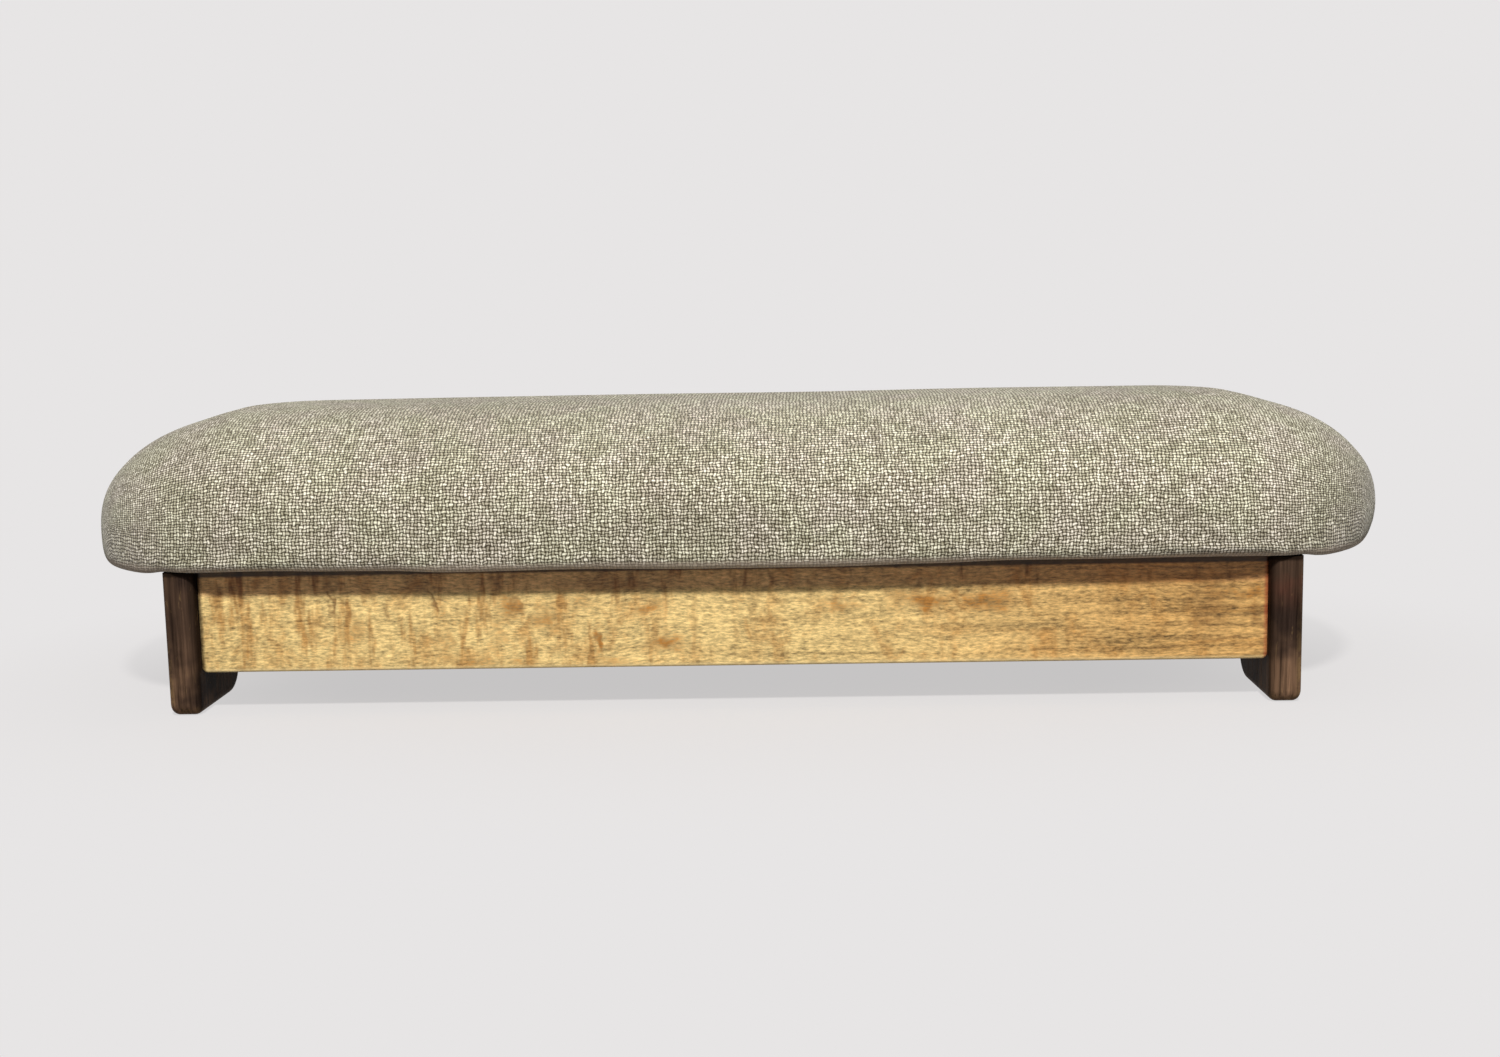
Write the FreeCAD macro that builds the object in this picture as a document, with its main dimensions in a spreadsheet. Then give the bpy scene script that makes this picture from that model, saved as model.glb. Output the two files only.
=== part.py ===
import FreeCAD, Part
import math
import os

import Sketcher
from FreeCAD import Rotation, Vector

# Padded footstool: a long cushion on a low frame of two end panels and two rails.
# The origin is on the floor under the middle, +X runs along the stool, -Y is the front and +Z is up.
# Every length is in millimetres.

SIZES = [
    ("cushion_length", 762.0, "cushion, end to end at its widest line"),
    ("cushion_depth", 229.0, "cushion, front to back at its widest line"),
    ("cushion_thickness", 87.0, "cushion, underside of the cover to the crown"),
    ("cushion_corner", 106.0, "plan radius of the cushion's corners at the widest line"),
    ("bulge_height", 15.5, "widest line above the underside of the cushion"),
    ("edge_tuck", 6.8, "how far the cover draws in below the widest line"),
    ("shoulder_end", 119.0, "level part of the crown to the cushion's end"),
    ("crown_half_width", 15.0, "half the level strip along the top of the crown"),
    ("crown_corner", 14.0, "corner radius of the level strip"),
    ("shoulder_power", 2.26, "fullness of the shoulders, 2 is an ellipse"),
    ("cover_thickness", 1.2, "woven cover"),
    ("cover_margin", 40.0, "cover turned under the seat board"),
    ("wadding_thickness", 6.0, "polyester wadding between cover and foam"),
    ("soft_clearance", 0.3, "gap between soft layers and their neighbours"),
    ("seat_board_thickness", 12.0, "plywood under the foam"),
    ("dust_cover_thickness", 0.5, "black cloth under the seat board"),
    ("dust_cover_inset", 16.0, "edge of the seat board to edge of the dust cover"),
    ("overhang_end", 61.7, "cushion past the end panels"),
    ("overhang_front", 11.0, "cushion past the front edges of the end panels"),
    ("frame_height", 82.5, "floor to the top of the panels and rails"),
    ("panel_thickness", 18.0, "board of the end panels"),
    ("panel_edge_round", 4.8, "roundover along the panels' edges"),
    ("foot_length", 76.5, "front edge of a panel to the inner side of its foot"),
    ("foot_round", 18.0, "inner lower corner of a foot"),
    ("toe_round", 7.0, "outer lower corner of a foot"),
    ("arch_height", 27.0, "floor to the top of the arch between the feet"),
    ("arch_round", 12.0, "upper corners of the arch"),
    ("rail_thickness", 18.0, "board of the rails"),
    ("rail_height", 58.7, "depth of the rails"),
    ("rail_inset", 7.0, "front edge of a panel to the face of the rail"),
    ("rail_edge_round", 1.6, "eased lower edges of the rails"),
    ("rail_end_round", 3.0, "eased lower corners of the rails"),
    ("dowel_diameter", 8.0, "dowel pins between rails and panels"),
    ("dowel_in_rail", 20.0, "dowel inside the rail"),
    ("dowel_in_panel", 11.0, "dowel inside the panel"),
    ("dowel_bevel", 1.0, "bevel at the ends of a dowel"),
    ("dowel_low", 14.0, "lower edge of the rail to the lower dowel"),
    ("dowel_spacing", 22.0, "lower dowel to upper dowel"),
    ("dowel_end_gap", 1.0, "glue room past each end of a dowel"),
    ("bore_clearance", 0.05, "radial gap round dowels and screws"),
    ("block_size", 30.0, "sides of the corner blocks"),
    ("block_height", 28.0, "height of the corner blocks"),
    ("block_bevel", 5.0, "bevel on the inner corner of the blocks"),
    ("screw_diameter", 4.0, "shank of the wood screws"),
    ("screw_head_diameter", 8.0, "countersunk head of the wood screws"),
    ("screw_point", 4.0, "tapered point of the wood screws"),
    ("seat_screw_length", 38.0, "screws up into the seat board"),
    ("block_screw_length", 42.0, "screws from the blocks into rails and panels"),
    ("seat_screw_inset", 9.0, "seat screw from panel and from rail"),
    ("block_screw_inset", 18.0, "block screw from the other board of its corner"),
    ("panel_screw_rise", 8.0, "screw into the panel above the block's underside"),
    ("rail_screw_rise", 20.0, "screw into the rail above the block's underside"),
    ("staple_crown", 10.0, "width of a staple"),
    ("staple_wire", 1.2, "width of the staple wire"),
    ("staple_gauge", 0.6, "thickness of the staple wire"),
    ("staple_leg", 8.0, "length of a staple's legs"),
    ("staple_spacing", 46.0, "widest step from staple to staple"),
    ("staple_corner_gap", 40.0, "end of a straight side to its last staple"),
    ("cover_staple_inset", 24.0, "edge of the seat board to the cover's staples"),
    ("dust_staple_inset", 32.0, "edge of the seat board to the dust cover's staples"),
]

# Angles, in degrees, at which the cushion's upright profile is cut into level sections
TUCK_ANGLES = (90, 42)
WADDING_TUCK_ANGLES = (36, 15)
DOME_ANGLES = (0, 18, 36, 52, 66, 78, 90)
CORNER_STAPLE_ANGLES = (30, 60)

doc = FreeCAD.newDocument("PaddedFootstool")
sheet = doc.addObject("Spreadsheet::Sheet", "Sizes")
for row, (alias, number, meaning) in enumerate(SIZES, start=1):
    sheet.set(f"A{row}", alias)
    sheet.set(f"B{row}", str(number))
    sheet.set(f"C{row}", meaning)
    sheet.setAlias(f"B{row}", alias)
doc.recompute()

# Formulas for the lines and levels that several pieces share
PANEL_OUTER = "(Sizes.cushion_length / 2 - Sizes.overhang_end)"
PANEL_INNER = f"({PANEL_OUTER} - Sizes.panel_thickness)"
PANEL_FRONT = "(Sizes.cushion_depth / 2 - Sizes.overhang_front)"
RAIL_OUTER = f"({PANEL_FRONT} - Sizes.rail_inset)"
RAIL_INNER = f"({RAIL_OUTER} - Sizes.rail_thickness)"
RAIL_BOTTOM = "(Sizes.frame_height - Sizes.rail_height)"
BLOCK_BOTTOM = "(Sizes.frame_height - Sizes.block_height)"
CUSHION_BOTTOM = "(Sizes.frame_height + Sizes.dust_cover_thickness)"
CUSHION_TOP = f"({CUSHION_BOTTOM} + Sizes.cushion_thickness)"
BULGE_LEVEL = f"({CUSHION_BOTTOM} + Sizes.bulge_height)"
BOARD_BOTTOM = f"({CUSHION_BOTTOM} + Sizes.cover_thickness)"
BOARD_TOP = f"({BOARD_BOTTOM} + Sizes.seat_board_thickness)"
BOARD_INSET = "(Sizes.edge_tuck + Sizes.cover_thickness + Sizes.soft_clearance)"
WADDING_INSET = "(Sizes.cover_thickness + Sizes.soft_clearance)"
FOAM_ROOM_INSET = f"({WADDING_INSET} + Sizes.wadding_thickness)"
FOAM_INSET = f"({FOAM_ROOM_INSET} + Sizes.soft_clearance)"
FOAM_BOTTOM = f"({BOARD_TOP} + Sizes.soft_clearance)"


def value(formula):
    """Number that a formula on the sheet stands for."""
    return float(sheet.evalExpression(formula))


def same(first, second):
    """True where two lengths agree within the model's tolerance."""
    return abs(first - second) < 1e-4


def new_body(label):
    body = doc.addObject("PartDesign::Body", label)
    body.Label = label
    return body


def origin_plane(body, role):
    return next(item for item in body.Origin.OriginFeatures if item.Role == role)


def sketch_on(body, role, offset="0"):
    """Empty sketch on one of the body's origin planes, moved along the plane's normal."""
    sketch = body.newObject("Sketcher::SketchObject", f"{body.Name}_sketch")
    sketch.AttachmentSupport = [(origin_plane(body, role), "")]
    sketch.MapMode = "FlatFace"
    sketch.setExpression("AttachmentOffset.Base.z", offset)
    return sketch


def bind(sketch, constraint, name, formula):
    """Add a sized constraint and tie it to a formula on the sheet."""
    index = sketch.addConstraint(constraint)
    sketch.renameConstraint(index, name)
    sketch.setExpression(f"Constraints.{name}", formula)


def draw_outline(sketch, corners):
    """Closed outline of straight lines, each corner held by its two formulas."""
    points = [Vector(value(x), value(y), 0) for x, y in corners]
    count = len(points)
    for index in range(count):
        sketch.addGeometry(Part.LineSegment(points[index], points[(index + 1) % count]))
    for index in range(count):
        sketch.addConstraint(Sketcher.Constraint("Coincident", index, 2, (index + 1) % count, 1))
    for index, (x, y) in enumerate(corners):
        across = Sketcher.Constraint("DistanceX", -1, 1, index, 1, points[index].x)
        upward = Sketcher.Constraint("DistanceY", -1, 1, index, 1, points[index].y)
        bind(sketch, across, f"x{index}", x)
        bind(sketch, upward, f"y{index}", y)


def draw_rounded_rectangle(sketch, half_length, half_depth, radius):
    """Rectangle about the origin with four equal corner arcs, tangent all round."""
    far_x, far_y, bend = value(half_length), value(half_depth), value(radius)
    near_x, near_y = far_x - bend, far_y - bend
    # Each side is followed by the arc at its far end, anticlockwise from the front side
    sides = [
        (Vector(-near_x, -far_y, 0), Vector(near_x, -far_y, 0), Vector(near_x, -near_y, 0)),
        (Vector(far_x, -near_y, 0), Vector(far_x, near_y, 0), Vector(near_x, near_y, 0)),
        (Vector(near_x, far_y, 0), Vector(-near_x, far_y, 0), Vector(-near_x, near_y, 0)),
        (Vector(-far_x, near_y, 0), Vector(-far_x, -near_y, 0), Vector(-near_x, -near_y, 0)),
    ]
    quarter = math.pi / 2
    for index, (start, end, centre) in enumerate(sides):
        first = (index - 1) * quarter
        circle = Part.Circle(centre, Vector(0, 0, 1), bend)
        sketch.addGeometry(Part.LineSegment(start, end))
        sketch.addGeometry(Part.ArcOfCircle(circle, first, first + quarter))
    for index in range(4):
        line, arc, following = 2 * index, 2 * index + 1, (2 * index + 2) % 8
        sketch.addConstraint(Sketcher.Constraint("Tangent", line, 2, arc, 1))
        sketch.addConstraint(Sketcher.Constraint("Tangent", arc, 2, following, 1))
        sketch.addConstraint(Sketcher.Constraint("Vertical" if index % 2 else "Horizontal", line))
    for arc in (3, 5, 7):
        sketch.addConstraint(Sketcher.Constraint("Equal", 1, arc))
    sketch.addConstraint(Sketcher.Constraint("Symmetric", 1, 3, 5, 3, -1, 1))
    bind(sketch, Sketcher.Constraint("DistanceX", -1, 1, 2, 1, far_x), "half_length", half_length)
    bind(sketch, Sketcher.Constraint("DistanceY", -1, 1, 4, 1, far_y), "half_depth", half_depth)
    bind(sketch, Sketcher.Constraint("Radius", 1, bend), "corner", radius)


def pad(body, sketch, length):
    feature = body.newObject("PartDesign::Pad", f"{body.Name}_pad")
    feature.Profile = sketch
    feature.setExpression("Length", length)
    doc.recompute()
    return feature


def round_edges(body, picked, radius):
    """Fillet the edges of the body's last feature for which picked(edge) is true."""
    feature = body.Tip
    names = [f"Edge{index}" for index, edge in enumerate(feature.Shape.Edges, start=1) if picked(edge)]
    fillet = body.newObject("PartDesign::Fillet", f"{body.Name}_round")
    fillet.Base = (feature, names)
    fillet.setExpression("Radius", radius)
    doc.recompute()


def runs_along(edge, axis):
    """True for a straight edge parallel to the named axis."""
    box = edge.BoundBox
    spans = {"X": box.XLength, "Y": box.YLength, "Z": box.ZLength}
    return all((span > 1e-4) == (name == axis) for name, span in spans.items())


def mirror(body, role):
    """Double the whole body across one of its origin planes."""
    copies = body.newObject("PartDesign::Mirrored", f"{body.Name}_mirrored")
    copies.TransformMode = "Whole shape"
    copies.MirrorPlane = (origin_plane(body, role), [""])
    body.Tip = copies
    doc.recompute()


def turn(body, axis, place, profile):
    """Turned solid about an axis through place, with profile points (along the axis, radius)."""
    x, y, z = place
    role, offset = ("YZ_Plane", x) if axis == "Y" else ("XZ_Plane", f"-({y})")
    sketch = sketch_on(body, role, offset)
    if axis == "Z":
        corners = [(f"{x} + {radius}", along) for along, radius in profile]
        ends = [(x, along) for along, radius in (profile[0], profile[-1])]
    else:
        corners = [(along, f"{z} + {radius}") for along, radius in profile]
        ends = [(along, z) for along, radius in (profile[0], profile[-1])]
    draw_outline(sketch, corners)
    # The centre line is a guide in the sketch, joined to the profile's two ends
    points = [Vector(value(first), value(second), 0) for first, second in ends]
    guide = sketch.addGeometry(Part.LineSegment(points[0], points[1]), True)
    sketch.addConstraint(Sketcher.Constraint("Coincident", guide, 1, 0, 1))
    sketch.addConstraint(Sketcher.Constraint("Coincident", guide, 2, len(profile) - 1, 1))
    feature = body.newObject("PartDesign::Revolution", f"{body.Name}_turned")
    feature.Profile = sketch
    feature.ReferenceAxis = (sketch, ["Axis0"])
    feature.Angle = 360
    doc.recompute()


def group(label, items):
    compound = doc.addObject("Part::Compound", label)
    compound.Links = items
    return compound


def cut(label, blank, tools):
    """Finished piece: a blank less the holes and slots of what goes through it."""
    piece = doc.addObject("Part::Cut", label)
    piece.Label = label
    piece.Base = blank
    piece.Tool = tools
    return piece


def dowel_profile(bevel, end_gap, clearance):
    start = f"({PANEL_INNER} - Sizes.dowel_in_rail - {end_gap})"
    end = f"({PANEL_INNER} + Sizes.dowel_in_panel + {end_gap})"
    radius = f"(Sizes.dowel_diameter / 2 + {clearance})"
    return [
        (start, "0"),
        (start, f"({radius} - {bevel})"),
        (f"({start} + {bevel})", radius),
        (f"({end} - {bevel})", radius),
        (end, f"({radius} - {bevel})"),
        (end, "0"),
    ]


def dowel_bore_profile():
    profile = dowel_profile("0", "Sizes.dowel_end_gap", "Sizes.bore_clearance")
    return [profile[0], profile[1], profile[4], profile[5]]


def dowels(label, profile):
    """Two dowels in each of the four joints between a rail and a panel."""
    body = new_body(label)
    middle = f"-({RAIL_OUTER} + {RAIL_INNER}) / 2"
    low = f"({RAIL_BOTTOM} + Sizes.dowel_low)"
    for level in (low, f"({low} + Sizes.dowel_spacing)"):
        turn(body, "X", ("0", middle, level), profile)
    mirror(body, "XZ_Plane")
    mirror(body, "YZ_Plane")
    return body


def screw_profile(head, direction, length, clearance):
    """Countersunk wood screw from the face at head, going in direction 1 or -1 along its axis."""
    shank = f"(Sizes.screw_diameter / 2 + {clearance})"
    rim = f"(Sizes.screw_head_diameter / 2 + {clearance})"
    return [
        (head, "0"),
        (head, rim),
        (f"({head} + {direction} * ({rim} - {shank}))", shank),
        (f"({head} + {direction} * ({length} - Sizes.screw_point))", shank),
        (f"({head} + {direction} * ({length} + {clearance}))", "0"),
    ]


def seat_screws(label, clearance):
    """One screw up through each corner block into the seat board."""
    body = new_body(label)
    x = f"({PANEL_INNER} - Sizes.seat_screw_inset)"
    y = f"-({RAIL_INNER} - Sizes.seat_screw_inset)"
    turn(body, "Z", (x, y, "0"), screw_profile(BLOCK_BOTTOM, 1, "Sizes.seat_screw_length", clearance))
    mirror(body, "XZ_Plane")
    mirror(body, "YZ_Plane")
    return body


def block_screws(label, clearance):
    """One screw from each corner block into its panel and one into its rail."""
    body = new_body(label)
    panel_place = (
        "0",
        f"-({RAIL_INNER} - Sizes.block_screw_inset)",
        f"({BLOCK_BOTTOM} + Sizes.panel_screw_rise)",
    )
    rail_place = (
        f"({PANEL_INNER} - Sizes.block_screw_inset)",
        "0",
        f"({BLOCK_BOTTOM} + Sizes.rail_screw_rise)",
    )
    panel_head = f"({PANEL_INNER} - Sizes.block_size)"
    rail_head = f"-({RAIL_INNER} - Sizes.block_size)"
    length = "Sizes.block_screw_length"
    turn(body, "X", panel_place, screw_profile(panel_head, 1, length, clearance))
    turn(body, "Y", rail_place, screw_profile(rail_head, -1, length, clearance))
    mirror(body, "XZ_Plane")
    mirror(body, "YZ_Plane")
    return body


def end_panel_blank(label, left_face):
    """Board with an arch between two feet, rounded over on every edge but the top."""
    body = new_body(label)
    sketch = sketch_on(body, "YZ_Plane", left_face)
    inner = f"({PANEL_FRONT} - Sizes.foot_length)"
    draw_outline(sketch, [
        (f"-{PANEL_FRONT}", "0"),
        (f"-{inner}", "0"),
        (f"-{inner}", "Sizes.arch_height"),
        (inner, "Sizes.arch_height"),
        (inner, "0"),
        (PANEL_FRONT, "0"),
        (PANEL_FRONT, "Sizes.frame_height"),
        (f"-{PANEL_FRONT}", "Sizes.frame_height"),
    ])
    pad(body, sketch, "Sizes.panel_thickness")
    for distance, level, radius in (
        (inner, "0", "Sizes.foot_round"),
        (inner, "Sizes.arch_height", "Sizes.arch_round"),
        (PANEL_FRONT, "0", "Sizes.toe_round"),
    ):
        y, z = value(distance), value(level)
        round_edges(
            body,
            lambda edge: runs_along(edge, "X")
            and same(abs(edge.CenterOfMass.y), y)
            and same(edge.CenterOfMass.z, z),
            radius,
        )
    top = value("Sizes.frame_height")
    round_edges(
        body,
        lambda edge: edge.BoundBox.XLength < 1e-4 and not same(edge.CenterOfMass.z, top),
        "Sizes.panel_edge_round",
    )
    return body


def rail_blank(label, inner_face):
    """Long board between the panels, with its lower corners and lower edges eased."""
    body = new_body(label)
    sketch = sketch_on(body, "XZ_Plane", inner_face)
    draw_outline(sketch, [
        (f"-{PANEL_INNER}", RAIL_BOTTOM),
        (PANEL_INNER, RAIL_BOTTOM),
        (PANEL_INNER, "Sizes.frame_height"),
        (f"-{PANEL_INNER}", "Sizes.frame_height"),
    ])
    pad(body, sketch, "Sizes.rail_thickness")
    bottom = value(RAIL_BOTTOM)
    round_edges(
        body,
        lambda edge: runs_along(edge, "Y") and same(edge.CenterOfMass.z, bottom),
        "Sizes.rail_end_round",
    )
    round_edges(
        body,
        lambda edge: runs_along(edge, "X") and same(edge.CenterOfMass.z, bottom),
        "Sizes.rail_edge_round",
    )
    return body


def block_blank(label, side, face):
    """Square block in the corner of a panel and a rail, bevelled on its free corner."""
    body = new_body(label)
    sketch = sketch_on(body, "XY_Plane", BLOCK_BOTTOM)
    panel_x = f"({side} * {PANEL_INNER})"
    rail_y = f"({face} * {RAIL_INNER})"
    free_x = f"({side} * ({PANEL_INNER} - Sizes.block_size))"
    free_y = f"({face} * ({RAIL_INNER} - Sizes.block_size))"
    draw_outline(sketch, [
        (panel_x, rail_y),
        (panel_x, free_y),
        (f"({free_x} + {side} * Sizes.block_bevel)", free_y),
        (free_x, f"({free_y} + {face} * Sizes.block_bevel)"),
        (free_x, rail_y),
    ])
    pad(body, sketch, "Sizes.block_height")
    return body


def board_outline(inset):
    """Half length, half depth and corner radius of the seat board's outline, moved in by inset."""
    edge = f"({BOARD_INSET} + {inset})"
    return (
        f"(Sizes.cushion_length / 2 - {edge})",
        f"(Sizes.cushion_depth / 2 - {edge})",
        f"(Sizes.cushion_corner - {edge})",
    )


def flat_sheet(label, bottom, inset, thickness):
    """Level sheet with the seat board's outline, moved in by inset."""
    body = new_body(label)
    sketch = sketch_on(body, "XY_Plane", bottom)
    draw_rounded_rectangle(sketch, *board_outline(inset))
    pad(body, sketch, thickness)
    return body


def tuck_sections(angles, bottom, inset):
    """Level sections where the cushion draws in from its widest line to its underside."""
    sections = []
    for angle in angles:
        rise = 1 - math.sin(math.radians(angle))
        draw = 1 - math.cos(math.radians(angle))
        level = f"({bottom} + ({BULGE_LEVEL} - {bottom}) * {rise:.6f})"
        edge = f"({inset} + Sizes.edge_tuck * {draw:.6f})"
        sections.append((
            level,
            f"(Sizes.cushion_length / 2 - {edge})",
            f"(Sizes.cushion_depth / 2 - {edge})",
            f"(Sizes.cushion_corner - {edge})",
        ))
    return sections


def dome_sections(base, inset):
    """Level sections from the widest line over the shoulders to the crown."""
    exponent = 2 / value("Sizes.shoulder_power")
    sections = []
    for angle in DOME_ANGLES:
        rise = math.sin(math.radians(angle)) ** exponent
        stay = math.cos(math.radians(angle)) ** exponent
        level = f"({base} + ({CUSHION_TOP} - {inset} - {base}) * {rise:.6f})"
        half_length = (
            f"(Sizes.cushion_length / 2 - Sizes.shoulder_end"
            f" + (Sizes.shoulder_end - {inset}) * {stay:.6f})"
        )
        half_depth = (
            f"(Sizes.crown_half_width"
            f" + (Sizes.cushion_depth / 2 - {inset} - Sizes.crown_half_width) * {stay:.6f})"
        )
        corner = (
            f"(Sizes.crown_corner + (Sizes.cushion_corner - {inset} - Sizes.crown_corner) * {stay:.6f})"
        )
        sections.append((level, half_length, half_depth, corner))
    return sections


def loft(body, kind, sections):
    """Smooth loft, added or taken away, through level rounded rectangles."""
    sketches = []
    for level, half_length, half_depth, corner in sections:
        sketch = sketch_on(body, "XY_Plane", level)
        draw_rounded_rectangle(sketch, half_length, half_depth, corner)
        sketches.append(sketch)
    doc.recompute()
    feature = body.newObject(f"PartDesign::{kind}Loft", f"{body.Name}_loft")
    feature.Profile = sketches[0]
    feature.Sections = sketches[1:]
    doc.recompute()


def opening(body, level, outline, depth, upward):
    """Cut a rounded rectangle out of the body, up or down from a level."""
    before = body.Tip.Shape.Volume
    sketch = sketch_on(body, "XY_Plane", level)
    draw_rounded_rectangle(sketch, *outline)
    pocket = body.newObject("PartDesign::Pocket", f"{body.Name}_opening")
    pocket.Profile = sketch
    pocket.Reversed = upward
    pocket.setExpression("Length", depth)
    doc.recompute()
    if pocket.Shape.Volume >= before:
        raise RuntimeError(f"{body.Label}: the opening cut nothing")


def cover_blank():
    """Woven cover: one sheet over the crown, drawn in at the sides and turned under the board."""
    body = new_body("cover_blank")
    outer = tuck_sections(TUCK_ANGLES, CUSHION_BOTTOM, "0") + dome_sections(BULGE_LEVEL, "0")
    inner = tuck_sections(TUCK_ANGLES, BOARD_BOTTOM, "Sizes.cover_thickness")
    inner += dome_sections(BULGE_LEVEL, "Sizes.cover_thickness")
    loft(body, "Additive", outer)
    loft(body, "Subtractive", inner)
    opening(body, CUSHION_BOTTOM, board_outline("Sizes.cover_margin"), "2 * Sizes.cover_thickness", True)
    return body


def wadding():
    """Wadding over the foam, tucked down beside the edge of the seat board."""
    body = new_body("wadding")
    outer = tuck_sections(WADDING_TUCK_ANGLES, CUSHION_BOTTOM, WADDING_INSET)
    loft(body, "Additive", outer + dome_sections(BULGE_LEVEL, WADDING_INSET))
    loft(body, "Subtractive", dome_sections(BOARD_TOP, FOAM_ROOM_INSET))
    room = board_outline("-Sizes.soft_clearance")
    opening(body, FOAM_BOTTOM, room, "Sizes.seat_board_thickness * 2", False)
    return body


def foam_pad():
    """Foam slab on the seat board, pulled down to a dome by the cover."""
    body = new_body("foam_pad")
    loft(body, "Additive", dome_sections(FOAM_BOTTOM, FOAM_INSET))
    return body


def spread(half_run):
    """Places spread evenly along a straight side, from one end of the run to the other."""
    steps = max(1, math.ceil(2 * half_run / value("Sizes.staple_spacing")))
    return [half_run * (2 * step / steps - 1) for step in range(steps + 1)]


def staple_places(inset):
    """Centre and turn of each staple on a line inside the edge of the seat board."""
    half_length, half_depth, bend = (value(item) for item in board_outline(inset))
    long_run = half_length - bend - value("Sizes.staple_corner_gap")
    places = []
    for face in (-1, 1):
        places += [(x, face * half_depth, 0) for x in spread(long_run)]
        places += [(face * half_length, y, 90) for y in spread(half_depth - bend)]
    for angle in CORNER_STAPLE_ANGLES:
        reach = bend * math.cos(math.radians(angle))
        drop = bend * math.sin(math.radians(angle))
        for side in (-1, 1):
            for face in (-1, 1):
                x = side * (half_length - bend + reach)
                y = face * (half_depth - bend + drop)
                places.append((x, y, -side * face * (90 - angle)))
    return places


def staples(label, bottom, inset):
    """Row of staples whose crowns lie flush in the cloth, with their legs up in the board."""
    crown, wire = value("Sizes.staple_crown"), value("Sizes.staple_wire")
    gauge, leg = value("Sizes.staple_gauge"), value("Sizes.staple_leg")
    bar = Part.makeBox(crown, wire, gauge, Vector(-crown / 2, -wire / 2, 0))
    legs = [
        Part.makeBox(gauge, wire, leg, Vector(left, -wire / 2, 0))
        for left in (-crown / 2, crown / 2 - gauge)
    ]
    staple = bar.fuse(legs).removeSplitter()
    copies = []
    for x, y, angle in staple_places(inset):
        one = staple.copy()
        one.rotate(Vector(), Vector(0, 0, 1), angle)
        one.translate(Vector(x, y, value(bottom)))
        copies += one.Solids
    feature = doc.addObject("Part::Feature", label)
    feature.Label = label
    feature.Shape = Part.makeCompound(copies)
    feature.Placement = FreeCAD.Placement(Vector(), Rotation())
    return feature


# Fasteners, and the bores that they leave in what they pass through
rail_dowels = dowels("rail_dowels", dowel_profile("Sizes.dowel_bevel", "0", "0"))
dowel_bores = dowels("dowel_bores", dowel_bore_profile())
seat_screw_set = seat_screws("seat_screws", "0")
seat_bores = seat_screws("seat_screw_bores", "Sizes.bore_clearance")
block_screw_set = block_screws("block_screws", "0")
block_bores = block_screws("block_screw_bores", "Sizes.bore_clearance")
cover_staples = staples("cover_staples", CUSHION_BOTTOM, "Sizes.cover_staple_inset")
dust_staples = staples("dust_cover_staples", "Sizes.frame_height", "Sizes.dust_staple_inset")

joint_tools = group("joint_bores", [dowel_bores, block_bores])
block_tools = group("corner_bores", [block_bores, seat_bores])
cloth_tools = group("cloth_holes", [cover_staples, dust_staples, seat_bores])
dust_tools = group("dust_cover_holes", [dust_staples, seat_bores])

nodes = [rail_dowels, seat_screw_set, block_screw_set, cover_staples, dust_staples]

# Frame
for label, left_face in (("end_panel_left", f"-{PANEL_OUTER}"), ("end_panel_right", PANEL_INNER)):
    nodes.append(cut(label, end_panel_blank(f"{label}_blank", left_face), joint_tools))
for label, inner_face in (("front_rail", RAIL_INNER), ("back_rail", f"-{RAIL_OUTER}")):
    nodes.append(cut(label, rail_blank(f"{label}_blank", inner_face), joint_tools))
for depth_name, face in (("front", -1), ("back", 1)):
    for side_name, side in (("left", -1), ("right", 1)):
        label = f"corner_block_{depth_name}_{side_name}"
        nodes.append(cut(label, block_blank(f"{label}_blank", side, face), block_tools))

# Cushion, from the board up, and the cloth that closes it below
board = flat_sheet("seat_board_blank", BOARD_BOTTOM, "0", "Sizes.seat_board_thickness")
nodes.append(cut("seat_board", board, cloth_tools))
nodes.append(foam_pad())
nodes.append(wadding())
nodes.append(cut("seat_cover", cover_blank(), cloth_tools))
under = flat_sheet(
    "dust_cover_blank", "Sizes.frame_height", "Sizes.dust_cover_inset", "Sizes.dust_cover_thickness"
)
nodes.append(cut("dust_cover", under, dust_tools))
doc.recompute()

for item in doc.Objects:
    if "Invalid" in item.State or "Error" in item.State:
        raise RuntimeError(f"{item.Label}: {item.State}")
for node in nodes:
    if node.Shape.isNull() or not node.Shape.isValid() or not node.Shape.Solids:
        raise RuntimeError(f"{node.Label}: no valid solid")

os.makedirs("parts", exist_ok=True)
for node in nodes:
    node.Shape.exportStep(f"parts/{node.Label}.step")
    print(f"{node.Label}: {len(node.Shape.Solids)} solids, {node.Shape.Volume / 1000:.2f} cm3")
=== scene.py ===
"""Padded footstool: woven cushion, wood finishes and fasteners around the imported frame."""
import math

import bmesh
import bpy
from bpy.props import FloatProperty, FloatVectorProperty, PointerProperty
from mathutils import Euler, Matrix, Vector, noise


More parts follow.
